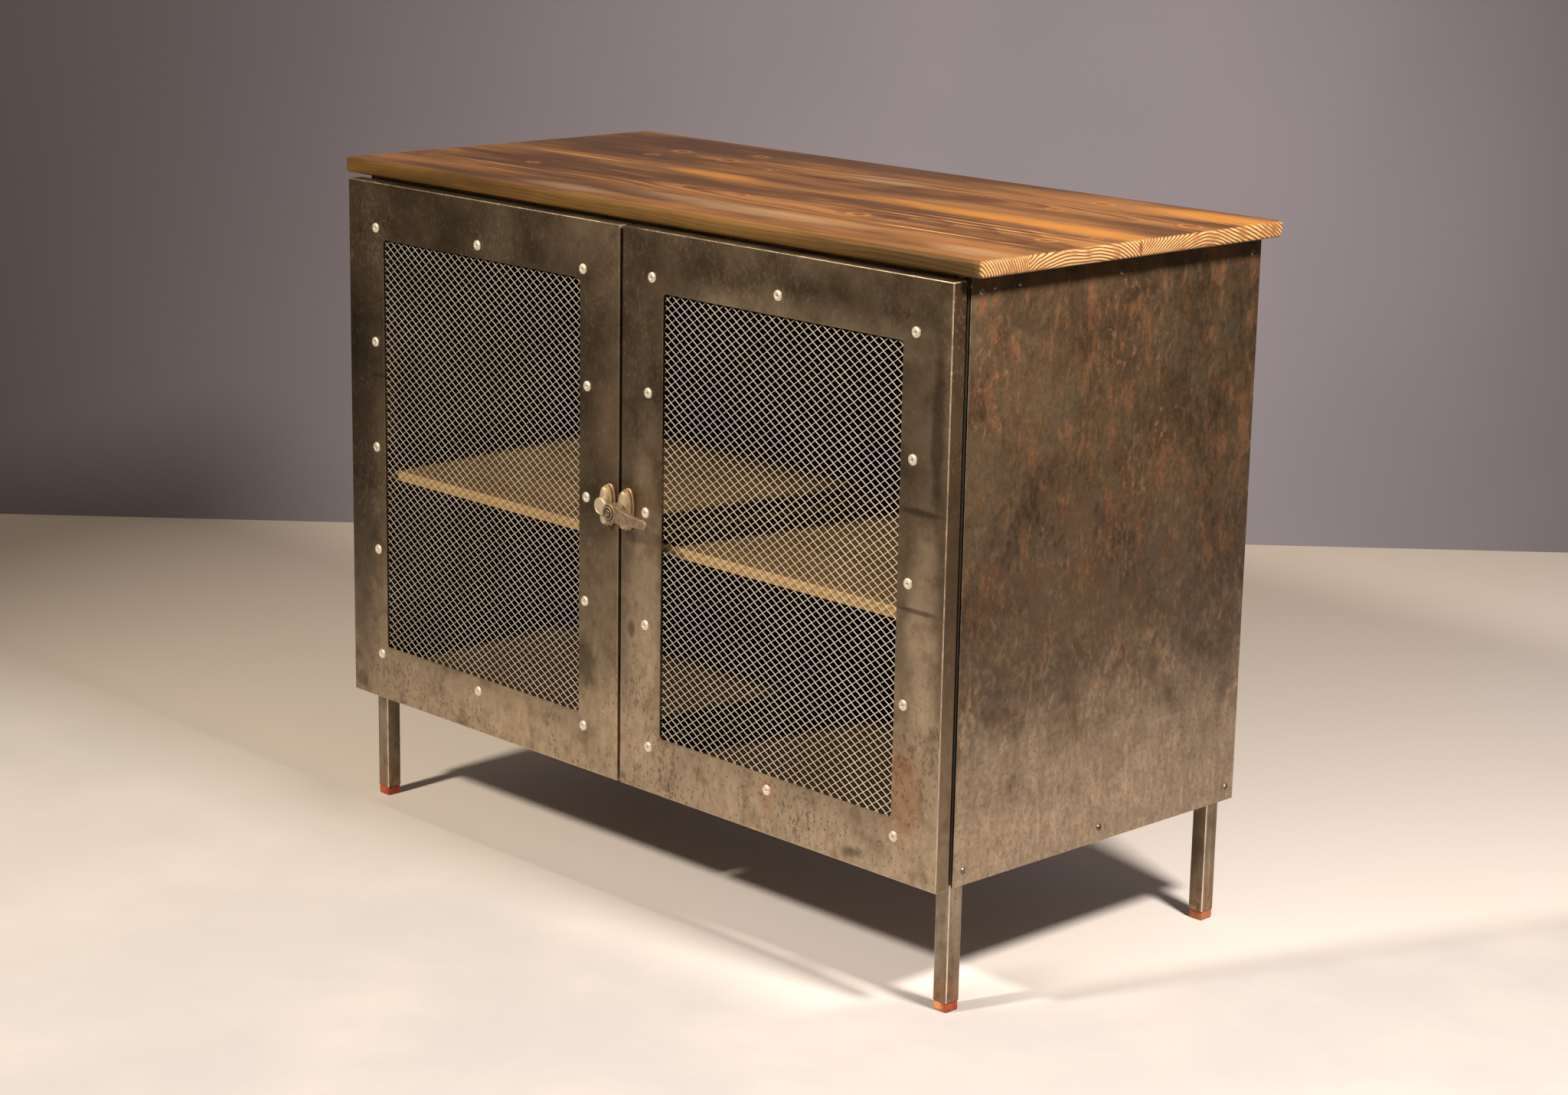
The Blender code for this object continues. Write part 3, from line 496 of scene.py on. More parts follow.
# %% Marks on the panels
panel_low, panel_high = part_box("side_panel_right")
FLECK_AREAS = (
    ((0.50, 0.040, 0.700), (0.20, 0.110, 0.110), 0.9),
    ((0.50, 0.085, 0.560), (0.20, 0.090, 0.120), 0.9),
    ((0.50, -0.170, 0.680), (0.20, 0.060, 0.120), 0.9),
    ((0.50, 0.000, 0.470), (0.20, 0.100, 0.060), 0.9),
    ((-0.50, 0.050, 0.640), (0.20, 0.140, 0.130), 0.9),
    ((0.0, 0.265, 0.600), (0.45, 0.100, 0.160), 0.9),
)
RED_MARKS = (
    ((0.50, 0.010, 0.322), (0.02, 0.006, 0.010), 1.6),
    ((0.50, -0.1877, 0.760), (0.02, 0.006, 0.016), 1.0),
)
print(len(FLECK_AREAS), "rusty areas,", len(RED_MARKS), "red marks")

# %% Panel steel
SHEET_INSIDE = 0.0010


def panel_steel():
    finish, inputs, place = start_material("panel_steel")
    weather = use_effect(WEATHER, vector=place, cloud_scale=9.0, spot_scale=130.0, spot_cover=0.37)
    spot = axes(place)
    height = spot["Z"]
    patchy = (grain(place, 20.0, 6.0, 0.68) - 0.5) * 0.40
    low = fade(height + patchy, 0.43, panel_low.z + 0.02)
    base = tint(weather["Cloud"], (72, 57, 42), (108, 89, 68))
    scale_patch = fade(grain(place, 13.0, 4.0, 0.6, 0.4), 0.52, 0.66)
    base = tint(scale_patch * 0.55, base, (98, 87, 72))
    film = fade(grain(stretch(place, 1.0, 1.0, 0.55), 34.0, 5.0, 0.65, 0.3), 0.48, 0.66)
    high = 1.0 - low * 0.75
    base = tint(film * high * 0.7, base, (104, 66, 38))
    drips = fade(grain(stretch(place, 80.0, 80.0, 30.0), 1.0, 6.0, 0.72), 0.34, 0.74)
    pale = low * (0.60 + drips * 0.36)
    base = tint(pale, base, (188, 167, 144))
    belt = fade(height, 0.26, 0.36) * fade(height, 0.62, 0.42)
    spots = weather["Spots"] * (0.25 + belt * 0.75)
    base = tint(spots * 0.72, base, (50, 36, 25))
    fleck = fade(grain(stretch(place, 1.0, 1.0, 0.7), 120.0, 5.0, 0.66), 0.50, 0.70)
    rust = fleck * stains(place, FLECK_AREAS, 12.0)
    base = tint(rust * 0.42, base, (132, 76, 42))
    pitted = fade(grain(place, 190.0, 5.0, 0.7), 0.46, 0.64)
    base = tint(pitted * 0.30, base, (50, 39, 29))
    bare = fade(grain(stretch(place, 1.0, 1.0, 0.6), 95.0, 6.0, 0.72), 0.48, 0.70)
    base = tint(bare * 0.26, base, (142, 118, 88))
    red = stains(place, RED_MARKS, 120.0) * 0.35
    base = tint(red, base, (160, 84, 52))
    worn = rubbed_edge(place, 0.7)
    base = tint(worn, base, (206, 192, 172))
    # Painted shade: inside the cabinet the sheet is painted nearly black, where little light gets in through
    # the mesh.
    inside_shade = abs(spot["X"]) < panel_high.x - SHEET_INSIDE
    inside_shade = inside_shade * (spot["Y"] < panel_high.y - SHEET_INSIDE)
    base = tint(inside_shade * 0.85, base, (34, 27, 20))
    dull = larger(larger(larger(rust, spots), film * 0.7), inside_shade)
    metallic = 0.80 - dull * 0.55
    rough = 0.46 + dull * 0.22 + weather["Grit"] * 0.08
    feed(inputs, base_color=base, metallic=metallic, roughness=rough)
    swell = grain(place, 4.0, 2.0) * 10.0
    crust = weather["Grit"] * 0.3 + dull * 0.5
    relief(inputs, swell + crust, 0.0003)
    return finish


PANEL_STEEL = panel_steel()
print("panel steel:", len(PANEL_STEEL.node_tree.nodes), "nodes")

# %% [markdown]
# ## Steel of the legs, rails and hinges
# The legs are square tube, greyer than the sheet, with streaks that run along them and rust near the floor.
# In the narrow gap behind the doors the corner of the tube that shows is painted dark, as painted shade, and
# its corners are rubbed bright only below the doors, since above them they stand in the doors' shade.
# The hinges are hidden in the doors and are plain grey steel with a dull brown film.

# %% Frame steel
leg_low, leg_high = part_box("leg_front_right")
GAP_DEPTH = 0.004


def frame_steel():
    finish, inputs, place = start_material("frame_steel")
    weather = use_effect(WEATHER, vector=place, cloud_scale=22.0, spot_scale=240.0, spot_cover=0.22)
    spot = axes(place)
    height = spot["Z"]
    streak = fade(grain(stretch(place, 160.0, 160.0, 9.0), 1.0, 4.0, 0.6), 0.35, 0.7)
    base = tint(weather["Cloud"], (116, 103, 85), (162, 147, 127))
    base = tint(streak * 0.45, base, (94, 74, 54))
    foot = fade(height, 0.075, 0.015) * fade(grain(place, 90.0, 4.0), 0.42, 0.6)
    base = tint(foot * 0.7, base, (134, 84, 50))
    base = tint(weather["Spots"] * 0.6, base, (80, 58, 40))
    # Rubbed corners only below the doors: painted shade keeps them dull above, where the doors shade them.
    bare = rubbed_edge(place, 0.85) * fade(height, 0.16, 0.13)
    base = tint(bare, base, (224, 214, 198))
    # Painted shade: the corner in the narrow gap behind the doors is painted nearly black.
    gap = fade(abs(spot["X"]), leg_high.x - 2 * GAP_DEPTH, leg_high.x - GAP_DEPTH)
    gap = gap * fade(spot["Y"], leg_low.y + 2 * GAP_DEPTH, leg_low.y + GAP_DEPTH)
    gap = gap * (height > door_low.z + 0.001)
    base = tint(gap * 0.95, base, (20, 15, 10))
    dull = larger(larger(foot, weather["Spots"]), gap)
    metallic = 0.9 - dull * 0.6
    rough = 0.36 + streak * 0.14 + dull * 0.2
    feed(inputs, base_color=base, metallic=metallic, roughness=rough)
    relief(inputs, weather["Grit"] + streak * 0.5, 0.0001)
    return finish


FRAME_STEEL = frame_steel()
print("frame steel:", len(FRAME_STEEL.node_tree.nodes), "nodes")

# %% Hinge steel


def hinge_steel():
    finish, inputs, place = start_material("hinge_steel", metallic=0.95)
    weather = use_effect(WEATHER, vector=place, cloud_scale=60.0, spot_scale=400.0, spot_cover=0.2)
    base = tint(weather["Cloud"], (96, 90, 82), (140, 134, 126))
    base = tint(weather["Spots"] * 0.6, base, (92, 66, 44))
    feed(inputs, base_color=base, roughness=0.34 + weather["Cloud"] * 0.14)
    relief(inputs, weather["Grit"], 0.0001)
    return finish


HINGE_STEEL = hinge_steel()

for name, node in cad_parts.items():
    chosen = HINGE_STEEL if name.startswith("hinge_") else FRAME_STEEL
    node.data.materials.clear()
    node.data.materials.append(chosen)
print("steel given to", len(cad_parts), "nodes, until a piece replaces them")

# %% [markdown]
# ## Modelling helpers
# Most pieces begin as a box between two corners of the frame. Real edges are never knife sharp, so they are
# rounded over with the bevel operator, and the middle of each rounding is marked in an attribute that the
# worn edges of the steel follow. A last helper turns a mesh into a piece: it closes doubles, points the faces
# outwards, shades it, and says which body carries it and which node of the frame it stands for.

# %% Boxes and roundings
SHARP_ANGLE = 0.8


def boxed(low, high):
    """A bmesh that holds one box, with the edge attribute ready."""
    bm = bmesh.new()
    bm.verts.layers.float.new("edge")
    low, high = Vector(low), Vector(high)
    fit = Matrix.Translation((low + high) / 2) @ Matrix.Diagonal((*(high - low), 1))
    bmesh.ops.create_cube(bm, size=1, matrix=fit)
    return bm


def round_over(bm, edges, radius, segments):
    """Bevels some edges, and marks the vertices inside the rounding as edge."""
    made = bmesh.ops.bevel(
        bm,
        geom=edges,
        offset=radius,
        segments=segments,
        profile=0.5,
        affect="EDGES",
        material=-1,
        clamp_overlap=True,
    )
    mark = bm.verts.layers.float["edge"]
    rounded = set(made["faces"])
    for vert in made["verts"]:
        vert[mark] = float(all(face in rounded for face in vert.link_faces))


def sharp_edges(bm):
    return [edge for edge in bm.edges if len(edge.link_faces) == 2 and edge.calc_face_angle() > SHARP_ANGLE]


print("edges sharper than", SHARP_ANGLE, "radians get rounded")

# %% Turned parts and pieces


def turned(bm, profile, centre, axis, steps):
    """Spins a profile of (radius, height) points about an axis through a centre."""
    along = Vector(axis).normalized()
    across = along.orthogonal().normalized()
    points = [bm.verts.new(Vector(centre) + across * r + along * h) for r, h in profile]
    edges = [bm.edges.new(pair) for pair in zip(points, points[1:])]
    bmesh.ops.spin(
        bm, geom=points + edges, cent=centre, axis=along, angle=math.tau, steps=steps, use_merge=True
    )


def add_piece(name, bm, finish, body, replaces=(), smooth=38):
    bmesh.ops.remove_doubles(bm, verts=bm.verts[:], dist=1e-6)
    bmesh.ops.recalc_face_normals(bm, faces=bm.faces[:])
    mesh = bpy.data.meshes.new(name)
    bm.to_mesh(mesh)
    bm.free()
    mesh.shade_smooth()
    mesh.set_sharp_from_angle(angle=math.radians(smooth))
    mesh.materials.append(finish)
    piece = bpy.data.objects.new(name, mesh)
    bpy.context.scene.collection.objects.link(piece)
    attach(piece, body)
    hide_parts(*replaces)
    print(f"{name}: {len(mesh.polygons)} faces on {body}")
    return piece


print("modelling helpers ready")

# %% [markdown]
# ## Side panels
# Each side is one plain sheet with softly broken edges, screwed to the frame. A box with its edges rounded by
# less than a millimetre is all it needs: the light on those edges is what makes it read as sheet metal.

# %% Side panels
SHEET_EDGE = 0.0006

for side in SIDES:
    bm = boxed(*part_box(f"side_panel_{side}"))
    round_over(bm, sharp_edges(bm), SHEET_EDGE, 2)
    add_piece(f"side_sheet_{side}", bm, PANEL_STEEL, "carcass", [f"side_panel_{side}"])

# %% [markdown]
# ## Folded pans: the back and the two doors
# The back is a shallow tray and each door is another, with a window in it. A folded pan is a box without one
# face: its bends are rounded first, and the sheet gets its thickness last, so that the inside of each bend
# follows the outside. The window is an inset of the front face that is taken out before the thickness is
# given, and its corners are rounded after it.

# %% Folding a pan
BEND_RADIUS = 0.0015
DOOR_SHEET = 0.0015
WINDOW_BORDER = 0.068
WINDOW_RADIUS = 0.004
CUT_EDGE = 0.0003


def folded(low, high, open_towards, window=None):
    """A sheet folded into a tray, open towards -Y (-1) or +Y (1), with a window if its border is given."""
    bm = boxed(low, high)
    by_depth = sorted(bm.faces, key=lambda face: open_towards * face.calc_center_median().y)
    plate, mouth = by_depth[0], by_depth[-1]
    bmesh.ops.delete(bm, geom=[mouth], context="FACES")
    bends = sharp_edges(bm)
    if window:
        bmesh.ops.inset_region(bm, faces=[plate], thickness=window, use_even_offset=True)
        bmesh.ops.delete(bm, geom=[plate], context="FACES")
    round_over(bm, bends, BEND_RADIUS, 4)
    bmesh.ops.recalc_face_normals(bm, faces=bm.faces[:])
    bmesh.ops.solidify(bm, geom=bm.faces[:], thickness=DOOR_SHEET)
    return bm


def round_window(bm, low, high):
    """Rounds the four corners of the cut-out, then breaks its front edge."""
    def in_window(vert):
        inside_x = low.x + WINDOW_BORDER / 2 < vert.co.x < high.x - WINDOW_BORDER / 2
        return inside_x and low.z + WINDOW_BORDER / 2 < vert.co.z < high.z - WINDOW_BORDER / 2

    rim = [edge for edge in bm.edges if all(in_window(vert) for vert in edge.verts)]
    corners = [edge for edge in rim if abs(edge.verts[0].co.y - edge.verts[1].co.y) > DOOR_SHEET / 2]
    round_over(bm, corners, WINDOW_RADIUS, 4)
    front = [e for e in sharp_edges(bm) if all(in_window(v) and v.co.y < low.y + CUT_EDGE for v in e.verts)]
    round_over(bm, front, CUT_EDGE, 2)


print("sheet", DOOR_SHEET, "m thick, bent at a radius of", BEND_RADIUS)

# %% Back and doors
RIVET_RISE = 0.0024

bm = folded(*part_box("back_panel"), -1)
add_piece("back_tray", bm, PANEL_STEEL, "carcass", ["back_panel"])

for side in SIDES:
    low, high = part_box(f"door_pan_{side}")
    low.y += RIVET_RISE
    bm = folded(low, high, 1, WINDOW_BORDER)
    round_window(bm, low, high)
    add_piece(f"door_skin_{side}", bm, DOOR_STEEL, f"{side}_door", [f"door_pan_{side}"])
door_face = low.y

# %% [markdown]
# ## Rivets
# The mesh is held by blind rivets of soft aluminium: a low domed head with the hole of its pulled mandrel in
# the middle, and behind the mesh a swollen tail. They were set by eye, so their spacing is uneven. A rivet is
# a turned part, so its profile is spun about its axis.

# %% Aluminium


def aluminium():
    finish, inputs, place = start_material("rivet_aluminium", metallic=0.6)
    weather = use_effect(WEATHER, vector=place, cloud_scale=160.0, spot_scale=700.0, spot_cover=0.2)
    base = tint(weather["Cloud"], (216, 208, 190), (236, 230, 214))
    base = tint(weather["Spots"] * 0.5, base, (130, 112, 92))
    feed(inputs, base_color=base, roughness=0.42 + weather["Cloud"] * 0.16)
    relief(inputs, weather["Grit"], 0.0001)
    return finish


ALUMINIUM = aluminium()
print("aluminium:", len(ALUMINIUM.node_tree.nodes), "nodes")

# %% Rivets
# Profiles are points of (radius, height), and each rivet is x and its height above the foot of the door.
RIVET_HEAD = (
    (0.0, -0.0012), (0.0012, -0.0012), (0.0014, 0.0014), (0.0021, 0.0019), (0.0036, 0.0020),
    (0.0050, 0.0016), (0.0059, 0.0008), (0.0062, 0.0), (0.0, -0.0016),
)
RIVET_TAIL = (
    (0.0, -0.0040), (0.0030, -0.0043), (0.0037, -0.0052), (0.0036, -0.0066), (0.0026, -0.0080),
    (0.0, -0.0082),
)
RIVETS = {
    "left": (
        (-0.451, 0.590), (-0.454, 0.450), (-0.454, 0.319), (-0.453, 0.190), (-0.448, 0.057),
        (-0.065, 0.588), (-0.057, 0.455), (-0.058, 0.326), (-0.060, 0.203), (-0.062, 0.053),
        (-0.255, 0.592), (-0.257, 0.051),
    ),
    "right": (
        (0.052, 0.593), (0.047, 0.463), (0.044, 0.326), (0.045, 0.196), (0.052, 0.054),
        (0.455, 0.588), (0.455, 0.456), (0.453, 0.325), (0.451, 0.194), (0.442, 0.048),
        (0.252, 0.599), (0.248, 0.051),
    ),
}

for side in SIDES:
    bm = bmesh.new()
    for x, rise in RIVETS[side]:
        centre = Vector((x, door_face, door_low.z + rise))
        for profile in (RIVET_HEAD, RIVET_TAIL):
            turned(bm, profile, centre, (0, -1, 0), 18)
    add_piece(f"rivets_{side}", bm, ALUMINIUM, f"{side}_door", smooth=50)

# %% [markdown]
# ## Expanded metal
# The windows are filled with expanded metal: a sheet that is slit in rows and pulled, so that every slit
# opens to a diamond and every strand tips forwards at its lower edge. A grid turned by 45 degrees and
# squeezed gives the diamonds. Insetting each one leaves the strands, tipping each opening about its own
# middle tips the strands, and a thickness finishes them. Each opening is only a dozen faces, because there
# are thousands.

# %% Mesh metal


def mesh_metal():
    finish, inputs, place = start_material("mesh_metal", metallic=0.5)
    weather = use_effect(WEATHER, vector=place, cloud_scale=14.0, spot_scale=260.0, spot_cover=0.2)
    base = tint(weather["Cloud"], (176, 170, 162), (192, 187, 179))
    base = tint(weather["Spots"] * 0.4, base, (150, 122, 94))
    feed(inputs, base_color=base, roughness=0.46 + weather["Grit"] * 0.08)
    return finish


MESH_METAL = mesh_metal()
print("mesh metal:", len(MESH_METAL.node_tree.nodes), "nodes")

# %% A lattice of diamonds
LONG_WAY, SHORT_WAY = 0.01375, 0.0100
MESH_BEHIND = 0.0036


def diamonds(low, high):
    """A lattice of diamond faces between two corners, standing in the plane of the door."""
    size = high - low
    pitch_x = size.x / round(size.x / LONG_WAY)
    pitch_z = size.z / round(size.z / SHORT_WAY)
    cells = math.ceil(size.x / pitch_x + size.z / pitch_z) + 2
    cells += cells % 2
    bm = bmesh.new()
    bmesh.ops.create_grid(bm, x_segments=cells, y_segments=cells, size=cells / 2)
    squeeze = Matrix.Diagonal((pitch_x / math.sqrt(2), pitch_z / math.sqrt(2), 1, 1))
    upright = UPRIGHT @ squeeze @ Matrix.Rotation(math.radians(45), 4, "Z")
    corner = Vector((low.x, door_face + MESH_BEHIND, low.z))
    half = Vector((round(size.x / pitch_x) / 2 * pitch_x, 0, round(size.z / pitch_z) / 2 * pitch_z))
    bmesh.ops.transform(bm, matrix=Matrix.Translation(corner + half) @ upright, verts=bm.verts[:])
    for point, normal in ((low, (-1, 0, 0)), (low, (0, 0, -1)), (high, (1, 0, 0)), (high, (0, 0, 1))):
        everything = bm.verts[:] + bm.edges[:] + bm.faces[:]
        bmesh.ops.bisect_plane(
            bm, geom=everything, dist=1e-6, plane_co=point, plane_no=normal, clear_outer=True
        )
    return bm


print("diamonds", LONG_WAY, "by", SHORT_WAY, "m")

# %% Expanded metal
STRAND = 0.0007
STRAND_TIP = math.radians(8)
STRAND_SHEET = 0.0005

for side in SIDES:
    bm = diamonds(*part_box(f"door_mesh_{side}"))
    openings = bm.faces[:]
    bm.normal_update()
    bmesh.ops.inset_individual(bm, faces=openings, thickness=STRAND / 2, use_even_offset=True)
    for opening in openings:
        middle = opening.calc_center_median()
        tip = Matrix.Translation(middle) @ Matrix.Rotation(STRAND_TIP, 4, "X") @ Matrix.Translation(-middle)
        for vert in opening.verts:
            vert.co = tip @ vert.co
    bmesh.ops.delete(bm, geom=openings, context="FACES")
    bm.normal_update()
    bmesh.ops.solidify(bm, geom=bm.faces[:], thickness=STRAND_SHEET)
    plain = [f"door_mesh_{side}"]
    add_piece(f"expanded_metal_{side}", bm, MESH_METAL, f"{side}_door", plain, smooth=75)

# %% [markdown]
# ## Legs and feet
# The legs are square tube with small round corners, open at the bottom, where a plug closes them. The plugs
# are soft orange-red plastic, worn and out of true, so their corners are rounded and every vertex is pushed a
# little by a noise, whose seed is set so that it gives the same result each time.

# %% Legs
LEG_CORNER = 0.0016
TUBE_WALL = 0.0015
CORNERS = [(end, side) for end in ("front", "rear") for side in SIDES]

for end, side in CORNERS:
    low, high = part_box(f"leg_{end}_{side}")
    bm = boxed(low, high)
    ends = [face for face in bm.faces if abs(face.normal.z) > 0.5]
    bmesh.ops.delete(bm, geom=ends, context="FACES")
    round_over(bm, sharp_edges(bm), LEG_CORNER, 4)
    bmesh.ops.recalc_face_normals(bm, faces=bm.faces[:])
    bmesh.ops.solidify(bm, geom=bm.faces[:], thickness=TUBE_WALL)
    add_piece(f"tube_leg_{end}_{side}", bm, FRAME_STEEL, "carcass", [f"leg_{end}_{side}"])

# %% Foot plastic
FOOT_SCUFF = (((0.484, -0.206, 0.005), (0.012, 0.004, 0.010), 0.5),)


def foot_plastic():
    finish, inputs, place = start_material("foot_plastic", roughness=0.6)
    depth = axes(place)["Y"]
    patchy = fade(grain(place, 150.0, 4.0, 0.6), 0.38, 0.64)
    base = tint(patchy, (150, 52, 26), (178, 86, 48))
    rear = fade(depth, 0.0, 0.2)
    base = tint(rear * 0.8, base, (176, 108, 66))
    scuffed = stains(place, FOOT_SCUFF, 300.0)
    base = tint(scuffed, base, (222, 156, 84))
    grime = fade(grain(place, 420.0, 3.0), 0.56, 0.72)
    base = tint(grime * 0.5, base, (104, 46, 24))
    feed(inputs, base_color=base)
    relief(inputs, grain(place, 500.0, 3.0), 0.0004)
    return finish


FOOT_PLASTIC = foot_plastic()
print("foot plastic:", len(FOOT_PLASTIC.node_tree.nodes), "nodes")

# %% Feet
FOOT_RISE = 0.0107
FOOT_ROUNDING = 0.0016
FOOT_WEAR, FOOT_BULGE = 0.0005, 0.0002
FOOT_NOISE, FOOT_SEED = 260, 7

noise.seed_set(FOOT_SEED)
for end, side in CORNERS:
    low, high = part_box(f"foot_{end}_{side}")
    high.z = FOOT_RISE
    bm = boxed(low, high)
    round_over(bm, sharp_edges(bm), FOOT_ROUNDING, 2)
    bmesh.ops.subdivide_edges(bm, edges=bm.edges[:], cuts=2, use_grid_fill=True)
    for vert in bm.verts:
        if low.z + FOOT_ROUNDING < vert.co.z < high.z - FOOT_ROUNDING / 2:
            push = noise.noise_vector(vert.co * FOOT_NOISE) * FOOT_WEAR
            vert.co += Vector((min(push.x, FOOT_BULGE), min(push.y, FOOT_BULGE), push.z))
    add_piece(f"foot_plug_{end}_{side}", bm, FOOT_PLASTIC, "carcass", [f"foot_{end}_{side}"])

# %% [markdown]
# ## Latch
# A stepped oval plate stands on each door. The left one carries a round stud, and the right one the post of
# a cast lever, with a turned cap on its end. The plates are pressed brass: an oval is a circle whose upper
# and lower halves are pulled apart, and its steps are extrusions that draw in towards the face. The brass is
# brown in its grooves, and the cap is dull, darkest in its hollows, so both colours follow depth.

# %% Latch brass
plate_low, plate_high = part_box("keeper_plate")
cap_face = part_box("lever_cap")[0].y


def latch_brass():
    finish, inputs, place = start_material("latch_brass", metallic=0.6)
    depth = axes(place)["Y"]
    root = plate_high.y
    weather = use_effect(WEATHER, vector=place, cloud_scale=120.0, spot_scale=900.0, spot_cover=0.12)
    face = fade(depth, root - 0.0095, root - 0.0115)
    base = tint(weather["Cloud"], (166, 142, 104), (196, 174, 134))
    base = tint(face * 0.85, base, (196, 184, 156))
    groove = fade(depth, root - 0.0052, root - 0.0044) * fade(depth, root - 0.0030, root - 0.0036)
    base = tint(groove * 0.7, base, (84, 58, 30))
    rim = fade(depth, root - 0.0030, root - 0.0015)
    base = tint(rim * 0.9, base, (118, 70, 46))
    base = tint(weather["Spots"] * 0.5, base, (112, 84, 52))
    cap = fade(depth, cap_face + 0.0060, cap_face + 0.0035)
    base = tint(cap * 0.8, base, (128, 110, 90))
    hollow = cap * fade(depth, cap_face + 0.0007, cap_face + 0.0013)
    base = tint(hollow * 0.8, base, (50, 40, 32))
    feed(inputs, base_color=base, roughness=0.46 + weather["Cloud"] * 0.14)
    relief(inputs, weather["Grit"], 0.0001)
    return finish


LATCH_BRASS = latch_brass()
print("latch brass:", len(LATCH_BRASS.node_tree.nodes), "nodes")

# %% Cast metal


def cast_metal():
    finish, inputs, place = start_material("cast_metal", metallic=0.75)
    weather = use_effect(WEATHER, vector=place, cloud_scale=110.0, spot_scale=420.0, spot_cover=0.16)
    base = tint(weather["Cloud"], (138, 118, 98), (168, 148, 124))
    base = tint(weather["Spots"] * 0.4, base, (104, 80, 64))
    base = tint(rubbed_edge(place, 0.6), base, (214, 198, 178))
    feed(inputs, base_color=base, roughness=0.42 + weather["Cloud"] * 0.12)
    relief(inputs, weather["Grit"] + weather["Cloud"] * 2.0, 0.0001)
    return finish


CAST_METAL = cast_metal()
print("cast metal:", len(CAST_METAL.node_tree.nodes), "nodes")

# %% Drawing an oval plate
OVAL_SEGMENTS = 48
OVAL_POWER = 2.4
RIDGE_ANGLE = 0.6
PLATE_STEPS = (
    (0.0, 0.0022), (0.0012, 0.0028), (0.0018, 0.0040), (0.0010, 0.0047), (0.0010, 0.0068), (0.0020, 0.0078),
    (0.0026, 0.0104), (0.0034, 0.0118), (0.0048, 0.0125),
)
PLATE_EDGE = 0.0003


def oval_plate(low, high):
    """Draws in an oval step by step, from the door outwards. Each step is (how far in, how far out)."""
    middle = (low + high) / 2
    half = Vector(((high.x - low.x) / 2, 0, (high.z - low.z) / 2))
    bm = bmesh.new()
    bm.verts.layers.float.new("edge")
    bmesh.ops.create_circle(bm, cap_ends=True, segments=OVAL_SEGMENTS, radius=1, matrix=UPRIGHT)
    for vert in bm.verts:
        bulge = [math.copysign(abs(part) ** (2 / OVAL_POWER), part) for part in vert.co]
        vert.co = Vector((middle.x + half.x * bulge[0], high.y, middle.z + half.z * bulge[2]))
    face = bm.faces[:][0]
    size = half.copy()
    for inset, rise in PLATE_STEPS:
        face = bmesh.ops.extrude_discrete_faces(bm, faces=[face])["faces"][0]
        drawn = Vector((half.x - inset, 0, half.z - inset))
        for vert in face.verts:
            vert.co.x = middle.x + (vert.co.x - middle.x) * drawn.x / size.x
            vert.co.z = middle.z + (vert.co.z - middle.z) * drawn.z / size.z
            vert.co.y = high.y - rise
        size = drawn
    bmesh.ops.contextual_create(bm, geom=[edge for edge in bm.edges if edge.is_boundary])
    bmesh.ops.recalc_face_normals(bm, faces=bm.faces[:])
    ridges = [edge for edge in bm.edges if edge.calc_face_angle(0) > RIDGE_ANGLE]
    ridges = [edge for edge in ridges if edge.verts[0].co.y < high.y - PLATE_EDGE]
    round_over(bm, ridges, PLATE_EDGE, 2)
    return bm


print(len(PLATE_STEPS), "steps from the door to the face of a plate")

# %% Oval plates
bm = oval_plate(plate_low, plate_high)
add_piece("keeper_rosette", bm, LATCH_BRASS, "left_door", ["keeper_plate"])
post_low, post_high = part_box("latch_plate")
post_low.y = plate_low.y
bm = oval_plate(post_low, post_high)
add_piece("latch_rosette", bm, LATCH_BRASS, "right_door", ["latch_plate"])

# %% Stud and cap
TURNED_STEPS = 40
STUD_PROFILE = (
    (0.0, 0.0), (0.0088, 0.0), (0.0100, 0.0006), (0.0102, 0.0022), (0.0098, 0.0038), (0.0088, 0.0045),
    (0.0080, 0.0043), (0.0076, 0.0039), (0.0, 0.0039),
)
low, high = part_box("keeper_stud")
middle = (low + high) / 2
bm = bmesh.new()
turned(bm, STUD_PROFILE, (middle.x, high.y, middle.z), (0, -1, 0), TURNED_STEPS)
add_piece("stud", bm, LATCH_BRASS, "left_door", ["keeper_stud"])

low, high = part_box("lever_cap")
axis_x, axis_z = (low.x + high.x) / 2, (low.z + high.z) / 2
CAP_PROFILE = (
    (0.0, 0.0), (0.0078, 0.0), (0.0080, 0.0004), (0.0080, 0.0024), (0.0076, 0.0028), (0.0066, 0.0028),
    (0.0060, 0.0022), (0.0058, 0.0014), (0.0038, 0.0014), (0.0036, 0.0022), (0.0030, 0.0026),
    (0.0024, 0.0022), (0.0022, 0.0012), (0.0014, 0.0012), (0.0012, 0.0024), (0.0, 0.0027),
)
bm = bmesh.new()
turned(bm, CAP_PROFILE, (axis_x, high.y, axis_z), (0, -1, 0), TURNED_STEPS)
add_piece("cap", bm, LATCH_BRASS, "right_door", ["lever_cap"])

# %% [markdown]
# ## Cast lever
# The arm starts as an upright grid with a thickness. Each of its points is then moved to where the arm's
# upper and lower edges run at that distance from the hub: level on top at first, then sweeping down to a
# slim, round tip. The hub is a turned barrel, and inside it the arm is set back, clear of the cap.

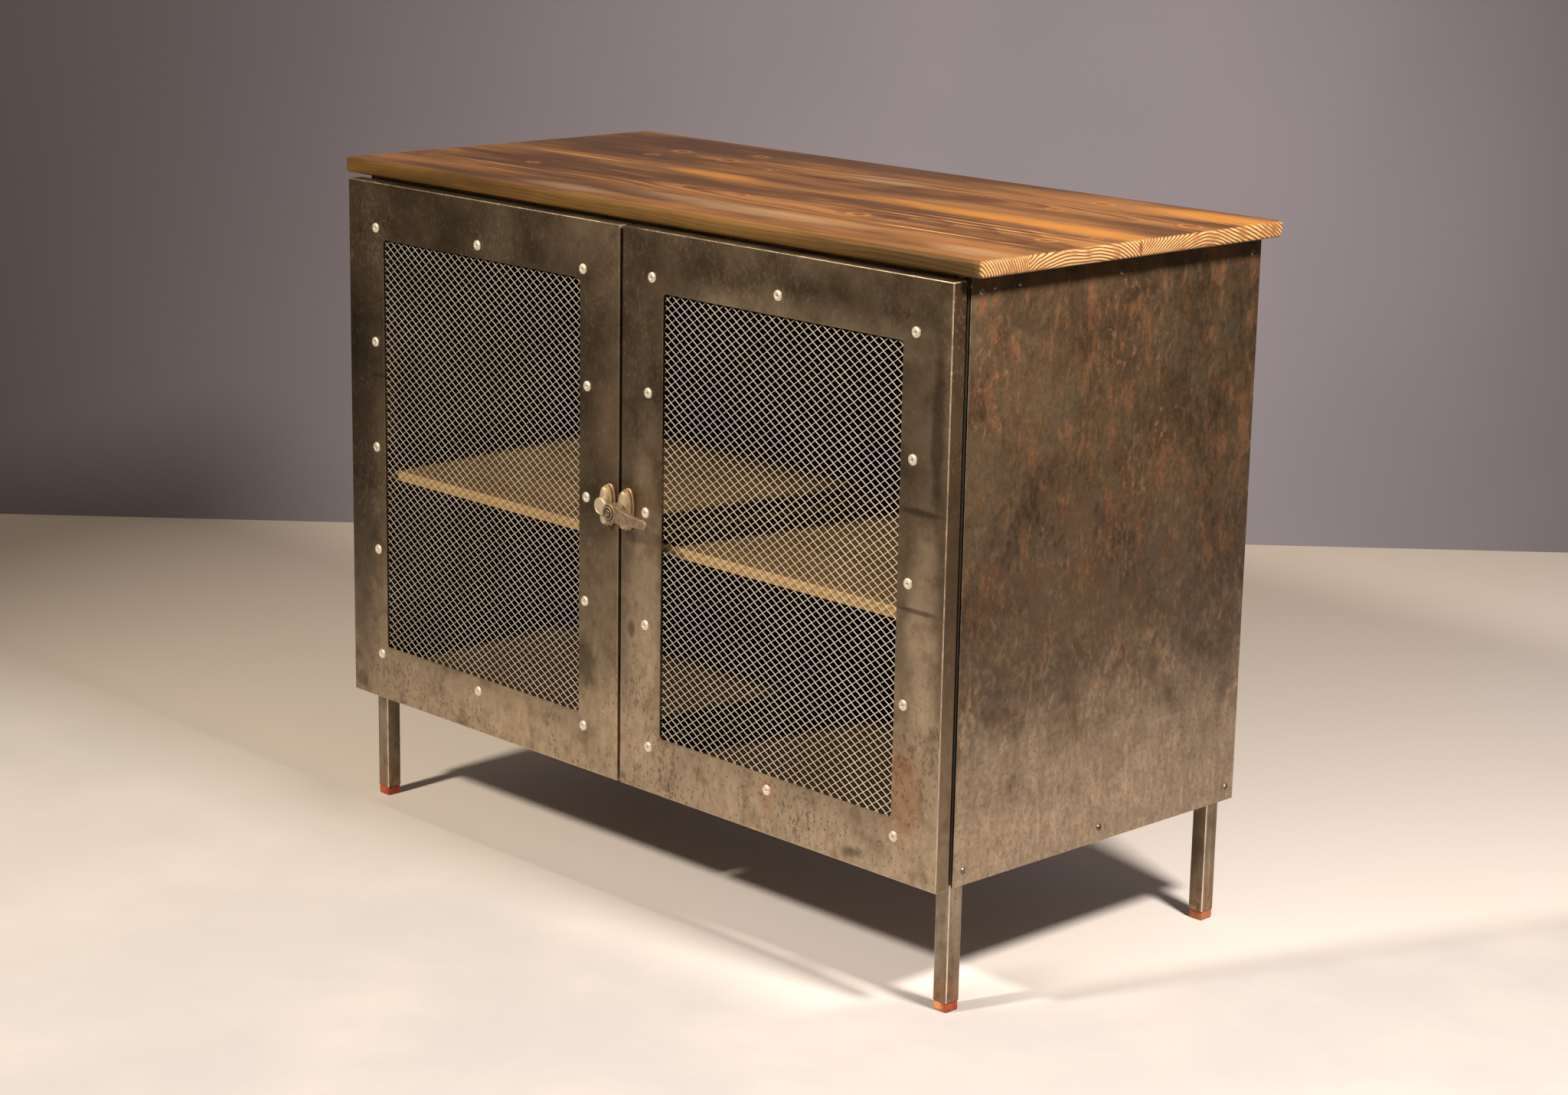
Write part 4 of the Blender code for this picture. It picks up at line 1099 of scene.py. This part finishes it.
# %% Cast lever
ARM_REACH = 0.0615
ARM_TOP, ARM_BOTTOM = 0.0098, 0.0099
ARM_LEVEL, ARM_DROOP = 0.009, 0.020
TIP_BOTTOM, TIP_ROUNDING, TIP_LEAST = 0.0088, 0.0050, 0.02
ROOT_DEPTH, TIP_DEPTH = 0.0080, 0.0036
ARM_SETBACK, HUB_SETBACK, HUB_INSIDE = 0.0009, 0.0026, 0.0095
CASTING_EDGE = 0.0013
lever_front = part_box("latch_lever")[0].y
bm = bmesh.new()
bm.verts.layers.float.new("edge")
bmesh.ops.create_grid(bm, x_segments=24, y_segments=4, size=0.5, matrix=UPRIGHT)
arm = bmesh.ops.extrude_face_region(bm, geom=bm.faces[:])["geom"]
bmesh.ops.translate(bm, verts=[item for item in arm if isinstance(item, bmesh.types.BMVert)], vec=(0, 1, 0))
for vert in bm.verts:
    along = (vert.co.x + 0.5) * ARM_REACH
    upper = ARM_TOP * min(1, math.exp((ARM_LEVEL - along) / ARM_DROOP))
    lower = -ARM_BOTTOM + (ARM_BOTTOM - TIP_BOTTOM) * (along / ARM_REACH) ** 2
    past = max(0, (along - ARM_REACH + TIP_ROUNDING) / TIP_ROUNDING)
    half = (upper - lower) / 2 * math.sqrt(max(TIP_LEAST, 1 - past * past))
    depth = ROOT_DEPTH + (TIP_DEPTH - ROOT_DEPTH) * along / ARM_REACH
    across = (upper + lower) / 2 + 2 * vert.co.z * half
    setback = HUB_SETBACK if math.hypot(along, across) < HUB_INSIDE else ARM_SETBACK
    vert.co = Vector((axis_x + along, lever_front + setback + vert.co.y * depth, axis_z + across))
bmesh.ops.recalc_face_normals(bm, faces=bm.faces[:])
round_over(bm, sharp_edges(bm), CASTING_EDGE, 4)
BARREL_PROFILE = (
    (0.0044, -0.0192), (0.0064, -0.0192), (0.0080, -0.0184), (0.0092, -0.0170), (0.0100, -0.0150),
    (0.0104, -0.0122), (0.0107, -0.0080), (0.0109, -0.0018), (0.0105, -0.0006), (0.0096, 0.0),
    (0.0088, 0.0), (0.0085, -0.0012), (0.0044, -0.0012), (0.0044, -0.0192),
)
turned(bm, BARREL_PROFILE, (axis_x, lever_front, axis_z), (0, -1, 0), TURNED_STEPS)
add_piece("cast_lever", bm, CAST_METAL, "lever", ["latch_lever"])

# %% [markdown]
# ## Timber top
# The top is three pine boards glued edge to edge, stained and oiled. Wood is a solid pattern: growth rings
# are cylinders round the heart of the tree, and each board has its own heart. Where the rings come out at the
# end of a board they show as arcs, and along its face as long lines, so one formula gives both. The heart
# wanders along the board, which bends the lines, and each knot pushes the rings aside round a light halo.
# Darker and paler patches are drawn at their own places, out along the grain: most are stains, and the pale
# grey ones are painted sheen, a painted reflection on the oiled face.

# %% Growth rings
RINGS, given, out = start_effect(
    "growth rings", {"Vector": ORIGIN, "Heart": ORIGIN, "Spacing": 0.0025, "Push": 0.0}, ["Ring", "Fibre"]
)
slow = stretch(given["Vector"], 1.6, 5.0, 5.0)
wander = wire(RINGS, "TexNoise", slow, None, 1.0, 2.0, 0.5, output="Color")
drift = wire(RINGS, "VectorMath", wander, (0.5, 0.5, 0.5), operation="SUBTRACT")
drift = stretch(drift, 0.0, 0.06, 0.05)
moved = wire(RINGS, "VectorMath", given["Vector"], drift, operation="ADD")
from_heart = wire(RINGS, "VectorMath", moved, given["Heart"], operation="SUBTRACT")
across = stretch(from_heart, 0.0, 1.0, 1.0)
radius = wire(RINGS, "VectorMath", across, output="Value", operation="LENGTH")
count = radius / given["Spacing"] + given["Push"]
uneven = grain(stretch(given["Vector"], 3.0, 60.0, 60.0), 1.0) * 0.8
phase = calc("FRACT", count + uneven)
late = fade(phase, 0.35, 0.86) * fade(phase, 1.0, 0.93)
feed(out, ring=late)
feed(out, fibre=grain(stretch(given["Vector"], 9.0, 700.0, 700.0), 1.0, 3.0))
print("growth rings ready")

# %% Marks on the pine
top_low, top_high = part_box("timber_top")
BOARD_JOINTS = (-0.150, 0.027)
# The heart of each board is y and z, and each knot is x, y and size.
HEARTS = ((-0.245, 0.770), (-0.066, 0.663), (0.147, 0.668))
RING_SPACING = 0.0035
KNOTS = (
    (-0.328, 0.152, 1.2), (-0.328, 0.101, 0.9), (-0.232, 0.197, 1.0), (-0.229, 0.136, 1.3),
    (-0.124, 0.116, 0.7), (0.317, 0.209, 1.1), (0.314, 0.132, 0.8), (0.494, 0.147, 1.2),
    (0.491, -0.004, 0.6), (0.470, -0.058, 1.0), (0.212, -0.076, 1.1), (0.020, -0.070, 0.9),
    (-0.352, -0.070, 0.8), (-0.511, -0.067, 0.7), (-0.490, -0.124, 0.5),
)
KNOT_REACH = Vector((0.019, 0.013, 0.05))
END_STREAK = (((top_high.x, 0.024, 0.802), (0.02, 0.0045, 0.010), 0.5),)
ALONG_GRAIN = 0.2
# Each kind of mark has its colour, its strength, the scale of its ragged edge and its patches, and a patch
# is x, y, reach along the grain, reach across it.
PINE_MARKS_AND_SHEEN = (
    ((80, 54, 38), 0.70, 40.0, (
        (-0.400, 0.165, 0.220, 0.120), (-0.100, 0.235, 0.300, 0.035), (-0.367, -0.052, 0.180, 0.058),
        (0.330, -0.066, 0.220, 0.014), (0.100, 0.085, 0.150, 0.030),
    )),
    # Pale grey patches: painted sheen, a painted reflection on the oiled face.
    ((168, 143, 114), 0.55, 40.0, (
        (0.030, 0.155, 0.090, 0.028), (-0.150, -0.181, 0.120, 0.026), (0.470, -0.180, 0.080, 0.026),
        (0.120, -0.150, 0.300, 0.030),
    )),
    ((210, 144, 62), 0.70, 40.0, (
        (0.340, 0.031, 0.320, 0.030), (-0.130, 0.031, 0.120, 0.024), (0.480, 0.225, 0.140, 0.042),
    )),
    ((224, 172, 104), 0.60, 30.0, (
        (-0.385, 0.023, 0.170, 0.005), (-0.350, -0.113, 0.130, 0.004), (0.330, -0.106, 0.240, 0.004),
        (0.330, -0.020, 0.230, 0.003), (0.330, -0.036, 0.230, 0.003),
    )),
    ((84, 46, 30), 0.75, 60.0, (
        (-0.019, 0.113, 0.060, 0.015), (0.209, 0.125, 0.055, 0.022), (0.250, -0.062, 0.040, 0.012),
        (0.330, -0.012, 0.230, 0.004), (0.330, -0.028, 0.230, 0.004), (0.330, -0.045, 0.230, 0.004),
    )),
)


print(len(KNOTS), "knots,", sum(len(patches) for *_, patches in PINE_MARKS_AND_SHEEN), "patches")

# %% Stained pine


def stained_pine():
    finish, inputs, place = start_material("stained_pine")
    inputs["Specular IOR Level"].default_value = 0.35
    spot = axes(place)
    heart = wire(place.tree, "CombineXYZ", 0.0, *HEARTS[0])
    for joint, (y, z) in zip(BOARD_JOINTS, HEARTS[1:]):
        past = spot["Y"] > joint
        between = (past, None, None, None, heart, (0.0, y, z))
        heart = wire(place.tree, "Mix", *between, output=1, data_type="VECTOR")
    knots = stains(place, [((x, y, top_high.z), KNOT_REACH * size, 1.0) for x, y, size in KNOTS], 90.0)
    cores = fade(knots, 0.90, 0.995)
    push = knots * 2.2
    rings = use_effect(RINGS, vector=place, heart=heart, spacing=RING_SPACING, push=push)
    long_noise = grain(stretch(place, 2.2, 16.0, 16.0), 1.0, 5.0, 0.6)
    base = tint(fade(long_noise, 0.36, 0.64), (88, 60, 36), (158, 111, 66))
    drawn_out = stretch(place, ALONG_GRAIN, 1.0, 1.0)
    for paint, strength, scale, patches in PINE_MARKS_AND_SHEEN:
        marks = [
            ((x * ALONG_GRAIN, y, top_high.z), (reach * ALONG_GRAIN, breadth, 0.1), 0.9)
            for x, y, reach, breadth in patches
        ]
        base = tint(stains(drawn_out, marks, scale) * strength, base, paint)
    base = tint(knots * 0.68, base, (208, 140, 78))
    uneven = fade(grain(stretch(place, 4.0, 22.0, 22.0), 1.0, 3.0), 0.3, 0.7)
    lines = rings["Ring"] * (0.26 + uneven * 0.50)
    base = tint(lines, base, (74, 42, 23))
    fibre = fade(rings["Fibre"], 0.35, 0.7)
    base = tint(fibre * 0.22, base, (70, 44, 26))
    base = tint(cores * 0.85, base, (98, 56, 30))
    front = fade(spot["Y"], top_low.y + 0.007, top_low.y + 0.003) * 0.85
    edge = tint(fade(long_noise, 0.4, 0.7), (74, 53, 16), (106, 80, 32))
    base = tint(front, base, edge)
    out_x = abs(spot["X"])
    end = fade(out_x, top_high.x - 0.0035, top_high.x - 0.0005)
    arcs = fade(rings["Ring"], 0.05, 0.5)
    bare = tint(arcs, (196, 156, 106), (100, 64, 38))
    bare = tint(fade(grain(place, 30.0, 4.0), 0.46, 0.68), bare, (128, 88, 52))
    streak = stains(place, END_STREAK, 200.0)
    bare = tint(streak * 0.85, bare, (104, 46, 32))
    base = tint(end, base, bare)
    feed(inputs, base_color=base, roughness=0.42 + long_noise * 0.16 + end * 0.2)
    relief(inputs, rings["Ring"] * 0.7 + fibre * 0.4, 0.00025)
    return finish


STAINED_PINE = stained_pine()
print("stained pine:", len(STAINED_PINE.node_tree.nodes), "nodes")

# %% Timber top
TOP_CORNER, TOP_EDGE = 0.009, 0.004
bm = boxed(top_low, top_high)
uprights = [edge for edge in bm.edges if abs(edge.verts[0].co.z - edge.verts[1].co.z) > 0.001]
round_over(bm, uprights, TOP_CORNER, 6)
rims = [edge for edge in sharp_edges(bm) if abs(edge.verts[0].co.z - edge.verts[1].co.z) < 1e-6]
round_over(bm, rims, TOP_EDGE, 4)
add_piece("pine_top", bm, STAINED_PINE, "carcass", ["timber_top"], smooth=45)

# %% [markdown]
# ## Bottom board and shelf
# Behind the mesh are two boards. They are seen through thousands of small openings, so a simple grain along
# their length is enough, with edges eased by a millimetre. Their faces are dark, and only the shelf's front
# edge is pale: it shows behind the windows as a bright strip.

# %% Boards inside
BOARD_EDGE = 0.0008
shelf_low, shelf_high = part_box("shelf")


def shelf_wood():
    finish, inputs, place = start_material("shelf_wood", roughness=0.55)
    rings = use_effect(RINGS, vector=place, heart=(0.0, 0.05, 0.25), spacing=0.006)
    shade = grain(stretch(place, 3.0, 14.0, 14.0), 1.0, 4.0)
    base = tint(fade(shade, 0.35, 0.65), (106, 82, 42), (132, 104, 56))
    base = tint(rings["Ring"] * 0.35, base, (82, 60, 30))
    depth = axes(place)["Y"]
    edge = fade(depth, shelf_low.y + 0.0016, shelf_low.y + 0.0002)
    strip = tint(fade(shade, 0.35, 0.65), (172, 136, 76), (198, 162, 98))
    base = tint(edge, base, strip)
    base = tint(rings["Fibre"] * 0.2, base, (110, 74, 40))
    feed(inputs, base_color=base)
    relief(inputs, rings["Fibre"], 0.0002)
    return finish


SHELF_WOOD = shelf_wood()
BOTTOM_WOOD = SHELF_WOOD.copy()
BOTTOM_WOOD.name = "bottom_wood"
inputs = BOTTOM_WOOD.node_tree.nodes["Principled BSDF"].inputs
whole = Signal(inputs["Base Color"].links[0].from_socket)
feed(inputs, base_color=tint(0.8, whole, (52, 36, 20)))
bm = boxed(shelf_low, shelf_high)
round_over(bm, sharp_edges(bm), BOARD_EDGE, 2)
add_piece("shelf_plank", bm, SHELF_WOOD, "carcass", ["shelf"])
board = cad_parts["bottom_board"]
board.data.materials.clear()
board.data.materials.append(BOTTOM_WOOD)

# %% [markdown]
# ## Slotted screws
# Six slotted screws and two small pins hold each side panel. A head is a low cone with its top cut off. Cuts
# across its flat face part a strip from it, and pushing that strip in makes the slot. Each one was left at
# its own angle.

# %% Cutting a screw head
SCREW_RADIUS, SCREW_RISE = 0.0042, 0.0013
SCREW_TOP = SCREW_RADIUS * 0.72
SLOT_WIDTH, SLOT_DEPTH, SLOT_REACH = 0.0010, 0.0008, SCREW_RADIUS * 0.66


def slotted_head(bm, centre, outward, angle):
    """One screw head, with its axis along outward and its slot turned by an angle in degrees."""
    head = bmesh.new()
    bmesh.ops.create_cone(
        head, cap_ends=True, segments=24, radius1=SCREW_RADIUS, radius2=SCREW_TOP, depth=SCREW_RISE
    )
    for across, reach in (((1, 0, 0), SLOT_WIDTH / 2), ((0, 1, 0), SLOT_REACH)):
        for sign in (1, -1):
            point = Vector(across) * reach * sign
            everything = head.verts[:] + head.edges[:] + head.faces[:]
            bmesh.ops.bisect_plane(head, geom=everything, dist=1e-7, plane_co=point, plane_no=across)
    flats = [face for face in head.faces if face.normal.z > 0.9]
    slot = min(flats, key=lambda face: face.calc_center_median().xy.length)
    floor_face = bmesh.ops.extrude_discrete_faces(head, faces=[slot])["faces"][0]
    bmesh.ops.translate(head, verts=floor_face.verts[:], vec=(0, 0, -SLOT_DEPTH))
    aim = Vector(outward).to_track_quat("Z", "Y").to_matrix().to_4x4()
    seat = Matrix.Translation(Vector(centre) + Vector(outward) * SCREW_RISE / 2)
    spin = Matrix.Rotation(math.radians(angle), 4, "Z")
    bmesh.ops.transform(head, matrix=seat @ aim @ spin, verts=head.verts[:])
    spare = bpy.data.meshes.new("screw_head")
    head.to_mesh(spare)
    head.free()
    bm.from_mesh(spare)
    bpy.data.meshes.remove(spare)


print("slots", SLOT_WIDTH, "m wide and", SLOT_DEPTH, "m deep")

# %% Slotted screws
SCREW_SINK = 0.0002
SCREW_Y = (-0.1877, 0.0303, 0.2508)
SCREW_Z = (0.1566, 0.7736)
PIN_Y, PIN_Z = (-0.1687, -0.1307), 0.7756
PIN_PROFILE = ((0.0, -0.0006), (0.0024, -0.0006), (0.0024, 0.0002), (0.0018, 0.0009), (0.0, 0.0012))

for side in SIDES:
    low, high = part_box(f"side_panel_{side}")
    sign = 1 if side == "right" else -1
    face_x = high.x if side == "right" else low.x
    bm = bmesh.new()
    for i, y in enumerate(SCREW_Y):
        for j, z in enumerate(SCREW_Z):
            slotted_head(bm, (face_x - sign * SCREW_SINK, y, z), (sign, 0, 0), 35 + 50 * i + 80 * j)
    for y in PIN_Y:
        turned(bm, PIN_PROFILE, (face_x, y, PIN_Z), (sign, 0, 0), 14)
    add_piece(f"panel_screws_{side}", bm, HINGE_STEEL, "carcass", smooth=30)
